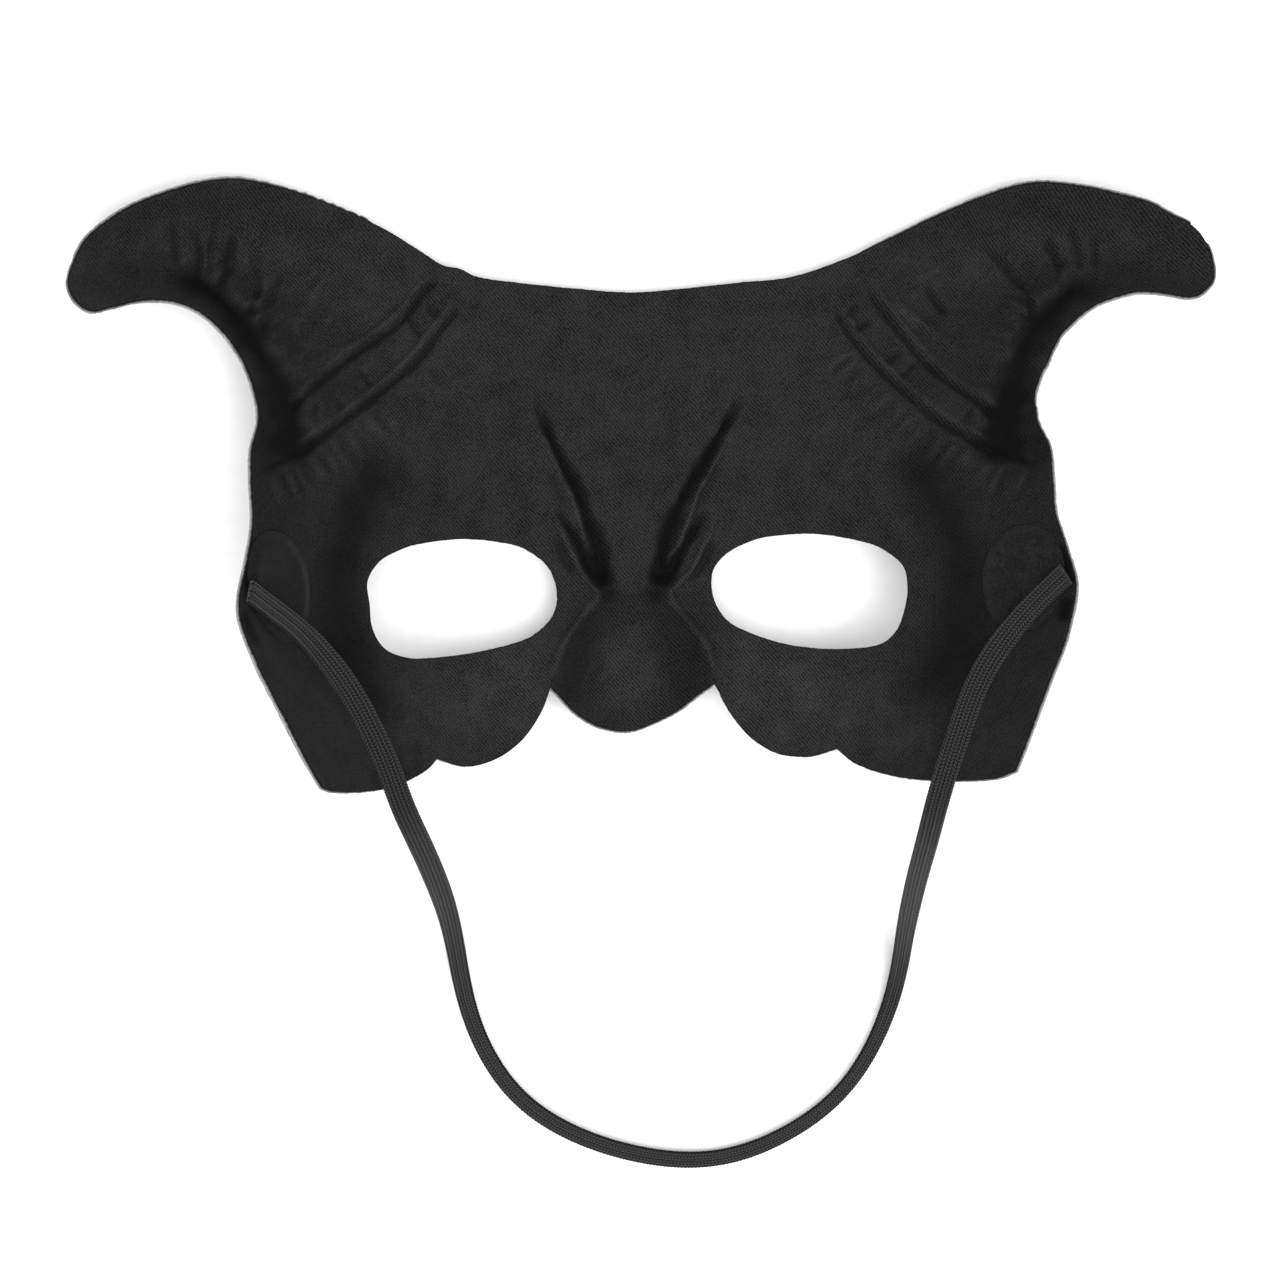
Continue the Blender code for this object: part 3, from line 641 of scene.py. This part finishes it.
def draw_to(ring, loop, sharp):
    """Moves a ring of vertices onto the loop, evenly spaced, with one at each sharp corner."""
    ends = np.roll(loop, -1, axis=0)
    lengths = np.hypot(*(ends - loop).T)
    starts = np.cumsum(lengths) - lengths
    whole = lengths.sum()
    at = np.array([v.co.xy for v in ring])
    near = np.linalg.norm(at[:, None] - loop[None], axis=2).argmin(axis=1)
    run = np.unwrap(starts[near] / whole * math.tau) / math.tau * whole
    held = np.zeros(len(ring), bool)
    for corner in np.flatnonzero(sharp):
        gap = (run - starts[corner] + whole / 2) % whole - whole / 2
        pin = np.abs(gap).argmin()
        run[pin] -= gap[pin]
        held[pin] = True
    around = whole * np.sign(run[-1] - run[0])
    for _ in range(30):
        before, after = np.roll(run, 1), np.roll(run, -1)
        before[0] -= around
        after[-1] += around
        run = np.where(held, run, 0.5 * run + 0.25 * (before + after))
    run %= whole
    closed = np.concatenate([starts, [whole]])
    for vert, s in zip(ring, run):
        vert.co.x = np.interp(s, closed, np.append(loop[:, 0], loop[0, 0]))
        vert.co.y = np.interp(s, closed, np.append(loop[:, 1], loop[0, 1]))


def cut_net(loops, step):
    """A grid over the unrolled sheet, cut along the loops and relaxed towards its border."""
    loops = [(np.array([(unroll(*p), p[1]) for p in loop]), sharp) for loop, sharp in loops]
    low, high = loops[0][0].min(axis=0), loops[0][0].max(axis=0)
    count = np.ceil((high - low) / step).astype(int) + 2
    body = bmesh.new()
    bmesh.ops.create_grid(body, x_segments=int(count[0]), y_segments=int(count[1]), size=0.5)
    bmesh.ops.scale(body, vec=(*(count * step), 1), verts=body.verts)
    bmesh.ops.translate(body, vec=(*((low + high) / 2), 0), verts=body.verts)
    middles = np.array([f.calc_center_median().xy for f in body.faces])
    keep = inside(middles, loops[0][0])
    for loop, _ in loops[1:]:
        keep &= ~inside(middles, loop)
    body.faces.ensure_lookup_table()
    bmesh.ops.delete(body, geom=[body.faces[i] for i in np.flatnonzero(~keep)], context="FACES")
    drop_loose_corners(body)
    for ring in border_rings(body):
        middle = np.mean([v.co.xy for v in ring], axis=0)
        loop, sharp = min(loops, key=lambda one: math.dist(one[0].mean(axis=0), middle))
        draw_to(ring, loop, sharp)
    edge = {v for v in body.verts if v.is_boundary}
    band = set(edge)
    for _ in range(4):
        band |= {e.other_vert(v) for v in band for e in v.link_edges}
    inner = list(band - edge)
    for _ in range(12):
        bmesh.ops.smooth_vert(body, verts=inner, factor=0.5, use_axis_x=True, use_axis_y=True)
    return body


def closer_net(body, wanted):
    """Halves the net's squares where the shape is fine."""
    middles = np.array([f.calc_center_median().xy for f in body.faces])
    x = np.array([roll_back(*p) for p in middles])
    fine = wanted(x, middles[:, 1])
    body.faces.ensure_lookup_table()
    edges = {e for i in np.flatnonzero(fine) for e in body.faces[i].edges}
    border = [f for f in body.faces if any(e.is_boundary for e in f.edges)]
    edges |= {e for face in border for e in face.edges}
    bmesh.ops.subdivide_edges(body, edges=list(edges), cuts=1, use_grid_fill=True)


def fine_places(x, y):
    near = np.zeros(np.shape(x), bool)
    for first, last, _, _, places in each_line(FOLDS):
        away, _, _ = beside(x, y, places)
        near |= np.abs(away) < (1.2 * max(first, last) + 0.8) * MM
    return near


# How the cut edge is rounded, from the inner face to the outer one
EDGE_ROWS = (
    # share of the thickness, bulge in millimetres
    (0.04, 0.03),
    (0.12, 0.07),
    (0.45, 0.09),
    (0.80, 0.08),
    (0.93, 0.06),
    (0.99, 0.02),
)


def thick_sheet(body, top, bottom, painted_shading_at, lip=0.0):
    """Gives the net its two faces and the cut edge between them, each with a material of its own. The
    faces are worked out from the places and from how far each is from the edge."""
    cloth = body.loops.layers.uv.new("cloth")
    depth = body.verts.layers.float.new("depth")
    # painted shade, and painted light where below 0, for each vertex, read by the colour; the front face gets
    # half
    nap = body.verts.layers.float.new("nap")
    verts = list(body.verts)
    flat = np.array([v.co.xy for v in verts])
    for face in body.faces:
        for loop in face.loops:
            loop[cloth].uv = loop.vert.co.xy
    x = np.array([roll_back(*p) for p in flat])
    number = {v: i for i, v in enumerate(verts)}
    rings = border_rings(body)
    border = [v for ring in rings for v in ring]
    tree = KDTree(len(border))
    for i, vert in enumerate(border):
        tree.insert(vert.co, i)
    tree.balance()
    inward = np.array([tree.find(v.co)[2] for v in verts])
    upper, lower = top(x, flat[:, 1], inward), bottom(x, flat[:, 1], inward)
    dark = painted_shading_at(x, flat[:, 1])
    copied = bmesh.ops.duplicate(body, geom=verts + list(body.edges) + list(body.faces))
    twin = copied["vert_map"]
    backs = [f for f in copied["geom"] if isinstance(f, bmesh.types.BMFace)]
    bmesh.ops.reverse_faces(body, faces=backs)
    for face in backs:
        face.material_index = 2
    for i, vert in enumerate(verts):
        vert.co = upper[i]
        vert[nap] = dark[i]
        twin[vert].co = lower[i]
        twin[vert][nap] = 0.5 * dark[i]
        twin[vert][depth] = 1.0
    welded = {}
    for ring in rings:
        rows = [number[v] for v in ring]
        ahead = np.roll(upper[rows], -1, axis=0) - np.roll(upper[rows], 1, axis=0)
        away = np.cross(ahead, upper[rows] - lower[rows])
        away /= np.linalg.norm(away, axis=1, keepdims=True)
        within = [np.mean([e.other_vert(v).co for e in v.link_edges], axis=0) for v in ring]
        away *= np.sign(((upper[rows] - np.array(within)) * away).sum())
        frayed = [FRAYING * noise.noise(Vector(at) / FRAY_SPACING) for at in lower[rows]]
        through = upper[rows] - lower[rows]
        steep = eased((0.96 - through[:, 2] / np.linalg.norm(through, axis=1)) / 0.22)
        current = ring
        for share, bulge in EDGE_ROWS + ((1.0, 0.0),):
            edges = [body.edges.get(pair) for pair in zip(current, current[1:] + current[:1])]
            made = bmesh.ops.extrude_edge_only(body, edges=edges)["geom"]
            new = {v for v in made if isinstance(v, bmesh.types.BMVert)}
            for face in made:
                if isinstance(face, bmesh.types.BMFace):
                    face.material_index = 1
            current = [next(e.other_vert(v) for e in v.link_edges if e.other_vert(v) in new) for v in current]
            for k, vert in enumerate(current):
                out = bulge * MM + (frayed[k] + lip * steep[k]) * share
                vert.co = upper[rows[k]] * (1 - share) + lower[rows[k]] * share
                vert.co += Vector(away[k] * out)
                vert[depth] = share
        for k, vert in enumerate(current):
            twin[ring[k]].co = vert.co
            welded[vert] = twin[ring[k]]
    bmesh.ops.weld_verts(body, targetmap=welded)
    bmesh.ops.recalc_face_normals(body, faces=body.faces)
    for vert in body.verts:
        vert.co = lay(tuple(vert.co))
        vert.co.z = max(vert.co.z, 0.0)
    return body


def piece_of(body, name, materials, node):
    """Makes the finished body a piece that stands for a CAD node."""
    mesh = bpy.data.meshes.new(name)
    body.to_mesh(mesh)
    body.free()
    for surface in materials:
        mesh.materials.append(surface)
    mesh.shade_smooth()
    made = bpy.data.objects.new(name, mesh)
    bpy.context.scene.collection.objects.link(made)
    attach(made, "root")
    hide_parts(node)
    return made


# ---- materials

def from_hex(code):
    """An sRGB hex colour as linear values."""
    values = [int(code[i:i + 2], 16) / 255 for i in (0, 2, 4)]
    return (*(v / 12.92 if v <= 0.04045 else ((v + 0.055) / 1.055) ** 2.4 for v in values), 1.0)


def fill(tree, node, sockets):
    """Links each output given to its input, and sets each plain value on it."""
    for name, value in sockets.items():
        if isinstance(value, bpy.types.NodeSocket):
            tree.links.new(value, node.inputs[name])
        else:
            node.inputs[name].default_value = value


def add(tree, kind, *inputs, gives=0, **settings):
    """Adds a node and returns the output asked for. Inputs fill its sockets in order. A setting is a
    property of the node, a socket by its name, or a colour ramp's stops as (position, hex) pairs."""
    node = tree.nodes.new("ShaderNode" + kind)
    sockets = dict(enumerate(inputs))
    for key, value in settings.items():
        if key == "stops":
            while len(node.color_ramp.elements) < len(value):
                node.color_ramp.elements.new(0.5)
            for element, (position, code) in zip(node.color_ramp.elements, value):
                element.position = position
                element.color = from_hex(code)
        elif hasattr(node, key):
            setattr(node, key, value)
        else:
            sockets[key.replace("_", " ")] = value
    fill(tree, node, sockets)
    return node.outputs[gives]


def start(name):
    """A new material, its tree and its Principled shader."""
    made = bpy.data.materials.new(name)
    made.use_nodes = True
    return made, made.node_tree, made.node_tree.nodes["Principled BSDF"]


def with_painted_shading(tree, color):
    """The colour with painted shade where the attribute is above 0 and painted light where it is below 0."""
    nap = add(tree, "Attribute", gives="Fac", attribute_name="nap", attribute_type="GEOMETRY")
    fall = add(tree, "Math", nap, -PAINTED_SHADING_FALL, 1.0, operation="MULTIPLY_ADD")
    return add(tree, "VectorMath", color, fall, operation="MULTIPLY")


def twill_cloth(name, dark, middle, light, sheen):
    """Polyester twill laminated to foam: fine slanting ribs broken into short yarns, a dull soft sheen
    and faint mottling where the moulding pressed the nap. The ribs are 0.62 mm apart, a little coarser
    than the real 0.55 mm, so that they show. Painted shade darkens the cloth in the folds and painted
    light makes it paler on their ridges."""
    made, tree, shader = start(name)
    net = add(tree, "UVMap", uv_map="cloth")
    millis = add(tree, "Mapping", net, Scale=(1000, 1000, 1000))
    slant = add(tree, "Mapping", millis, Rotation=(0, 0, math.radians(-42)))
    ribs = add(tree, "TexWave", slant, gives="Fac", wave_type="BANDS", bands_direction="X",
               Scale=WAVE_PERIOD / TWILL_RIB_MM, Distortion=2.2, Detail=2.0, Detail_Scale=1.6,
               Detail_Roughness=0.6)
    short = add(tree, "Mapping", slant, Scale=(2.2, 0.8, 1.0))
    yarn = add(tree, "TexNoise", short, Scale=1.5, Detail=2.0, Roughness=0.6)
    fluff = add(tree, "TexNoise", millis, Scale=4.2, Detail=2.0, Roughness=0.7)
    where = add(tree, "TexCoord", gives="Object")
    mottle = add(tree, "TexNoise", where, Scale=160.0, Detail=4.0, Roughness=0.7)
    weave = add(tree, "Math", fluff, 0.70, operation="MULTIPLY")
    weave = add(tree, "Math", yarn, 0.28, weave, operation="MULTIPLY_ADD")
    weave = add(tree, "Math", ribs, 0.12, weave, operation="MULTIPLY_ADD")
    tone = add(tree, "Math", mottle, 0.16, operation="MULTIPLY")
    tone = add(tree, "Math", weave, 0.84, tone, operation="MULTIPLY_ADD")
    color = add(tree, "ValToRGB", tone, stops=((0.43, dark), (0.50, middle), (0.585, light)))
    fill(tree, shader, {
        "Base Color": with_painted_shading(tree, color),
        "Normal": add(tree, "Bump", Height=weave, Strength=0.6, Distance=0.25 * MM),
        "Roughness": add(tree, "MapRange", fluff, To_Min=0.78, To_Max=0.98),
        "Specular IOR Level": 0.06,
        "Sheen Weight": sheen,
        "Sheen Roughness": 0.45,
        "Sheen Tint": from_hex("a8a8a8"),
    })
    return made


def cut_edge_foam(name):
    """The die-cut edge of the laminate: dark foam under the lining, and a pale frayed lip where the
    front cloth's backing shows, half a millimetre wide and ragged."""
    made, tree, shader = start(name)
    depth = add(tree, "Attribute", gives="Fac", attribute_name="depth", attribute_type="GEOMETRY")
    where = add(tree, "TexCoord", gives="Object")
    fray = add(tree, "TexNoise", where, Scale=1400.0, Detail=2.0, Roughness=0.6)
    patches = add(tree, "TexNoise", where, Scale=60.0, Detail=2.0)
    level = add(tree, "Math", fray, 0.45, depth, operation="MULTIPLY_ADD")
    level = add(tree, "Math", patches, 0.35, level, operation="MULTIPLY_ADD")
    level = add(tree, "Math", level, 0.40, operation="SUBTRACT")
    stops = ((0.05, "101010"), (0.30, "181818"), (0.48, "585858"), (0.85, "8e8e8e"))
    fill(tree, shader, {
        "Base Color": add(tree, "ValToRGB", level, stops=stops),
        "Normal": add(tree, "Bump", Height=fray, Strength=0.6, Distance=0.3 * MM),
        "Roughness": 0.92,
        "Specular IOR Level": 0.06,
    })
    return made


def pressed_felt(name):
    """Needled felt of the glued tabs: no weave, short matted fibres a tenth of a millimetre thick,
    drawn in clumps of half a millimetre so that they show."""
    made, tree, shader = start(name)
    where = add(tree, "TexCoord", gives="Object")
    fibres = add(tree, "TexNoise", where, Scale=1900.0, Detail=4.0, Roughness=0.75, Distortion=1.2)
    clumps = add(tree, "TexNoise", where, Scale=240.0, Detail=3.0, Roughness=0.6)
    tone = add(tree, "Math", clumps, 0.20, operation="MULTIPLY")
    tone = add(tree, "Math", fibres, 0.80, tone, operation="MULTIPLY_ADD")
    color = add(tree, "ValToRGB", tone, stops=((0.42, "080808"), (0.51, "101010"), (0.62, "1d1d1d")))
    fill(tree, shader, {
        # painted shade and painted light from the tab's vertex attribute
        "Base Color": with_painted_shading(tree, color),
        "Normal": add(tree, "Bump", Height=tone, Strength=0.5, Distance=0.25 * MM),
        "Roughness": 0.95,
        "Specular IOR Level": 0.06,
        "Sheen Weight": 0.06,
        "Sheen Roughness": 0.5,
    })
    return made


def braided_elastic(name):
    """Flat braided elastic: polyester yarn plaited over rubber threads. Ribs run along it, and each is
    a row of slanting stitches 0.75 mm apart that lean against those of the next rib, with dark gaps
    between the ribs."""
    made, tree, shader = start(name)
    net = add(tree, "UVMap", uv_map="cloth")
    run = add(tree, "SeparateXYZ", net, gives="X")
    side = add(tree, "SeparateXYZ", net, gives="Y")
    row = add(tree, "Math", side, STRAP_RIBS / STRAP_WIDTH, STRAP_RIBS / 2, operation="MULTIPLY_ADD")
    within = add(tree, "Math", row, operation="FRACT")
    within = add(tree, "Math", within, 0.5, operation="SUBTRACT")
    lean = add(tree, "Math", row, operation="FLOOR")
    lean = add(tree, "Math", lean, 2.0, operation="MODULO")
    lean = add(tree, "Math", lean, 1.8, -0.9, operation="MULTIPLY_ADD")
    lean = add(tree, "Math", within, lean, operation="MULTIPLY")
    turn = add(tree, "Math", run, 1 / STRAP_STITCH, lean, operation="MULTIPLY_ADD")
    turn = add(tree, "Math", turn, math.pi, operation="MULTIPLY")
    loops = add(tree, "Math", turn, operation="SINE")
    loops = add(tree, "Math", loops, operation="ABSOLUTE")
    loops = add(tree, "Math", loops, 0.8, 0.2, operation="MULTIPLY_ADD")
    ribs = add(tree, "Math", within, math.pi, operation="MULTIPLY")
    ribs = add(tree, "Math", ribs, operation="COSINE")
    ribs = add(tree, "Math", ribs, 0.45, operation="POWER")
    stitch = add(tree, "Math", loops, ribs, operation="MULTIPLY")
    middle = add(tree, "Math", side, 0.0, 0.14 * MM, operation="COMPARE")
    middle = add(tree, "Math", middle, -0.6, 1.0, operation="MULTIPLY_ADD")
    stitch = add(tree, "Math", stitch, middle, operation="MULTIPLY")
    millis = add(tree, "Mapping", net, Scale=(1000, 1000, 1000))
    fuzz = add(tree, "TexNoise", millis, Scale=2.2, Detail=3.0, Roughness=0.7)
    tone = add(tree, "Math", fuzz, 0.28, operation="MULTIPLY")
    tone = add(tree, "Math", stitch, 0.72, tone, operation="MULTIPLY_ADD")
    stops = ((0.28, "030303"), (0.52, "101010"), (0.84, "323232"))
    fill(tree, shader, {
        "Base Color": add(tree, "ValToRGB", tone, stops=stops),
        "Normal": add(tree, "Bump", Height=stitch, Strength=0.8, Distance=0.25 * MM),
        "Roughness": 0.72,
        "Specular IOR Level": 0.2,
        "Sheen Weight": 0.08,
        "Sheen Roughness": 0.4,
    })
    return made


def studio_floor(name):
    """Matt white studio paper."""
    made, tree, shader = start(name)
    where = add(tree, "TexCoord", gives="Object")
    grain = add(tree, "TexNoise", where, Scale=300.0, Detail=2.0)
    color = add(tree, "ValToRGB", grain, stops=((0.3, "f4f4f4"), (0.7, "f8f8f8")))
    fill(tree, shader, {"Base Color": color, "Roughness": 0.9})
    return made



# ---- camera

def set_camera():
    """Looks into the hollow from the photograph's place."""
    turn, roll = VIEW_TURN, VIEW_ROLL
    level = np.array([math.cos(turn), 0.0, math.sin(turn)])
    right = level * math.cos(roll) - np.array([0.0, math.sin(roll), 0.0])
    up = level * math.sin(roll) + np.array([0.0, math.cos(roll), 0.0])
    back = np.array([-math.sin(turn), 0.0, math.cos(turn)])
    at = lay(-VIEW_SIDE * right + VIEW_DISTANCE * back)
    lens = bpy.data.cameras.new("photo_camera")
    lens.sensor_width = SENSOR_WIDTH
    lens.lens = SENSOR_WIDTH * VIEW_DISTANCE / VIEW_WIDTH
    lens.clip_start = 0.01
    camera = bpy.data.objects.new("photo_camera", lens)
    axes = np.stack([tilted(right), tilted(up), tilted(back)], axis=1)
    camera.matrix_world = Matrix.Translation(Vector(at)) @ Matrix(axes.tolist()).to_4x4()
    bpy.context.scene.collection.objects.link(camera)
    bpy.context.scene.camera = camera


set_camera()

lining_cloth = twill_cloth("black_twill_lining", "060606", "131313", "292929", 0.03)
front_cloth = twill_cloth("black_twill_front", "060606", "111111", "252525", 0.04)
edge_foam = cut_edge_foam("die_cut_foam_edge")
tab_felt = pressed_felt("pressed_felt_tab")
elastic = braided_elastic("braided_elastic_cord")


# ---- strap

def strap_line():
    """Places along the strap, each with the way that its flat upper side looks."""
    places, ways = [], []

    def on_lining(rows):
        for across, up, lift, turn_up in rows:
            x, y = (np.array(v) for v in place(across, up))
            _, way = over(plain, x, y, 0.0)
            way = tilted(way)
            eased = (1 - turn_up) * way + turn_up * np.array([0, 0, 1])
            eased /= np.linalg.norm(eased)
            above = 2 * CLEARANCE + STRAP_THICKNESS / 2 + lift * (CLEARANCE + TAB_THICKNESS)
            above += np.linalg.norm(np.cross(way, eased)) * STRAP_WIDTH / 2
            places.append(lay(over(plain, x, y, above)[0]))
            ways.append(way + (np.array([0, 0, 1]) - way) * min(1.0, 0.25 + 1.2 * turn_up))

    on_lining(STRAP_ON_RIGHT)
    for across, along, above, lean in STRAP_FREE:
        angle = math.radians(lean)
        lying = abs(math.sin(angle)) * STRAP_WIDTH / 2 + math.cos(angle) * STRAP_THICKNESS / 2
        height = above * SIDE_DEPTH + lying + CLEARANCE / 2
        places.append(np.array([across * HALF_BREADTH, along * HEIGHT, height]))
        ways.append(None)
    on_lining(STRAP_ON_LEFT)
    for i, (_, _, _, lean) in enumerate(STRAP_FREE, len(STRAP_ON_RIGHT)):
        ahead = places[i + 1] - places[i - 1]
        inward = np.cross(ahead, (0, 0, 1))
        inward /= np.linalg.norm(inward)
        angle = math.radians(lean)
        ways[i] = math.cos(angle) * np.array([0, 0, 1]) + math.sin(angle) * inward
    return np.array(places), np.array(ways)


def evenly(places, ways, step):
    """The strap's middle line at even steps, evened out as the pull of the elastic does, and the two
    ways square to it."""
    start, end = places[0] - places[1], places[-1] - places[-2]
    places = np.vstack([places[:1] + STRAP_TUCK * start / np.linalg.norm(start), places,
                        places[-1:] + STRAP_TUCK * end / np.linalg.norm(end)])
    ways = np.vstack([ways[:1], ways, ways[-1:]])
    knots = np.concatenate([[0], np.cumsum(np.linalg.norm(np.diff(places, axis=0), axis=1))])
    count = math.ceil(knots[-1] / step)
    at = np.linspace(0, knots[-1], count + 1)
    line = np.stack([smooth(at, knots, places[:, k]) for k in range(3)], axis=1)
    way = np.stack([smooth(at, knots, ways[:, k]) for k in range(3)], axis=1)
    for _ in range(STRAP_EVENING):
        line[1:-1] = 0.5 * line[1:-1] + 0.25 * (line[:-2] + line[2:])
        way[1:-1] = 0.5 * way[1:-1] + 0.25 * (way[:-2] + way[2:])
    ahead = np.gradient(line, axis=0)
    ahead /= np.linalg.norm(ahead, axis=1, keepdims=True)
    way -= ahead * (way * ahead).sum(axis=1, keepdims=True)
    way /= np.linalg.norm(way, axis=1, keepdims=True)
    return line, way, np.cross(way, ahead)


def strap_section():
    """Across the elastic: low ribs above and below, and round edges."""
    wide, thick = STRAP_WIDTH / 2, STRAP_THICKNESS / 2
    across = np.linspace(-1, 1, 3 * STRAP_RIBS + 1)
    hill = thick * (0.84 - 0.16 * np.cos(math.tau * STRAP_RIBS * (across + 1) / 2))
    hill *= 1 - 0.5 * np.abs(across) ** 10
    over_side = [(wide * a, h) for a, h in zip(across, hill)]
    return over_side + [(a, -h) for a, h in reversed(over_side)]


def make_strap():
    line, way, across = evenly(*strap_line(), STRAP_STEP)
    section = strap_section()
    body = bmesh.new()
    cloth = body.loops.layers.uv.new("cloth")
    run = body.verts.layers.float.new("run")
    side = body.verts.layers.float.new("side")
    lengths = np.concatenate([[0], np.cumsum(np.linalg.norm(np.diff(line, axis=0), axis=1))])
    ring = [body.verts.new(line[0] + across[0] * a + way[0] * b) for a, b in section]
    for pair in zip(ring, ring[1:] + ring[:1]):
        body.edges.new(pair)
    first = ring
    for k in range(len(line)):
        if k:
            edges = [body.edges.get(pair) for pair in zip(ring, ring[1:] + ring[:1])]
            made = bmesh.ops.extrude_edge_only(body, edges=edges)["geom"]
            new = {v for v in made if isinstance(v, bmesh.types.BMVert)}
            ring = [next(e.other_vert(v) for e in v.link_edges if e.other_vert(v) in new) for v in ring]
        scallop = 1 - 0.045 * (k % 2)
        for vert, (a, b) in zip(ring, section):
            vert.co = line[k] + across[k] * a * scallop + way[k] * b * (1 - 0.1 * (k % 2))
            vert[run], vert[side] = lengths[k], a
    bmesh.ops.contextual_create(body, geom=first)
    bmesh.ops.contextual_create(body, geom=ring)
    bmesh.ops.recalc_face_normals(body, faces=body.faces)
    for face in body.faces:
        for loop in face.loops:
            loop[cloth].uv = (loop.vert[run], loop.vert[side])
    band = piece_of(body, "braided_strap", [elastic], "elastic_strap")
    tuple(line[0])
    [tuple(p) for p in line]


make_strap()


# ---- moulded sheet

def make_shell():
    loops = []
    for rows in (OUTLINE_RIGHT + OUTLINE_LEFT[::-1], EYE_RIGHT, EYE_LEFT):
        loops.append(trace([(x * MM, y * MM) for x, y in rows], [row in SHARP_CORNERS for row in rows]))
    body = cut_net(loops, SHEET_STEP)
    closer_net(body, fine_places)

    def uneven(x, y):
        """Soft lumps that the moulding leaves, a sixth of a millimetre high."""
        return np.array([
            0.10 * MM * noise.noise(Vector((a / 0.009, b / 0.009, 0.0)))
            + 0.07 * MM * noise.noise(Vector((a / 0.0035, b / 0.0035, 4.0)))
            for a, b in zip(x, y)
        ])

    def top(x, y, inward):
        return over(lining, x, y, uneven(x, y))[0]

    def bottom(x, y, inward):
        full = eased(inward / EDGE_PINCH)
        thick = EDGE_THICKNESS + (SHEET_THICKNESS - EDGE_THICKNESS) * full
        near = over(lining, x, y, -thick)[0]
        far = over(outer, x, y, -thick)[0]
        return near + (far - near) * full[:, None]

    def painted_shading_at(x, y):
        # painted shade in grooves, bands and pleat troughs; painted light on ridges, cheeks and pleat crests
        nap = folds(x, y, 0.0)[1] + painted_shading_bands(x, y) - 0.38 * pleats(x, y) / MM
        return np.clip(nap, -0.5, 1.0)

    thick_sheet(body, top, bottom, painted_shading_at, LIP)
    piece_of(body, "moulded_shell", [lining_cloth, edge_foam, front_cloth], "mask_shell")


make_shell()


# ---- tabs

def make_tab(side, name, node):
    x, y = place(TAB_ACROSS, TAB_UP)
    middle = unroll(x, y)
    loop = []
    for i in range(TAB_POINTS):
        angle = math.tau * i / TAB_POINTS
        radius = TAB_DIAMETER / 2 * (1 + 0.006 * math.sin(3 * angle + side) + 0.004 * math.sin(7 * angle))
        up = y + radius * math.sin(angle)
        loop.append((side * roll_back(middle + radius * math.cos(angle), up), up))
    body = cut_net([(np.array(loop), np.zeros(TAB_POINTS, bool))], TAB_STEP)

    def standing(x, y, inward, share):
        """Height of the disc over the lining at a share of its thickness. It stands off a little more
        towards its outer edge, where the strap comes out, and its edge is pressed thin."""
        out = np.clip((np.abs(x) - (HALF_BREADTH * TAB_ACROSS + 0.0035)) / 0.004, 0, 1)
        thin = (TAB_THICKNESS - TAB_EDGE_THICKNESS) * (1 - eased(inward / TAB_EDGE_PINCH))
        return CLEARANCE + 0.5 * MM * out * out + share * (TAB_THICKNESS - thin)

    def top(x, y, inward):
        return over(plain, x, y, standing(x, y, inward, 1.0))[0]

    def bottom(x, y, inward):
        return over(plain, x, y, standing(x, y, inward, 0.0))[0]

    def painted_shading_at(x, y):
        """Painted light and shade: the right tab's felt is drawn much paler and the left one's a little
        darker, as light falls on them.
        """
        return np.full(np.shape(x), 0.20 if side < 0 else -0.65)

    thick_sheet(body, top, bottom, painted_shading_at)
    piece_of(body, name, [tab_felt] * 3, node)


make_tab(1, "right_felt_tab", "right_strap_tab")
make_tab(-1, "left_felt_tab", "left_strap_tab")


# ---- floor and light

def make_floor():
    body = bmesh.new()
    bmesh.ops.create_grid(body, x_segments=4, y_segments=4, size=3.0)
    mesh = bpy.data.meshes.new("studio_floor")
    body.to_mesh(mesh)
    body.free()
    mesh.materials.append(studio_floor("studio_paper"))
    floor = bpy.data.objects.new("studio_floor", mesh)
    bpy.context.scene.collection.objects.link(floor)


def make_light():
    light = bpy.data.lights.new("softbox_front", "AREA")
    light.shape = "SQUARE"
    light.size = SOFTBOX_SIZE
    light.energy = SOFTBOX_POWER
    lamp = bpy.data.objects.new("softbox_front", light)
    aim = -Vector(SOFTBOX_AT)
    lamp.matrix_world = Matrix.Translation(SOFTBOX_AT) @ aim.to_track_quat("-Z", "Y").to_matrix().to_4x4()
    bpy.context.scene.collection.objects.link(lamp)
    world = bpy.data.worlds.new("studio")
    world.use_nodes = True
    background = world.node_tree.nodes["Background"]
    fill(world.node_tree, background, {"Color": (1, 1, 1, 1), "Strength": ROOM_LIGHT})
    bpy.context.scene.world = world


make_floor()
make_light()
bpy.context.scene.view_settings.view_transform = "Standard"
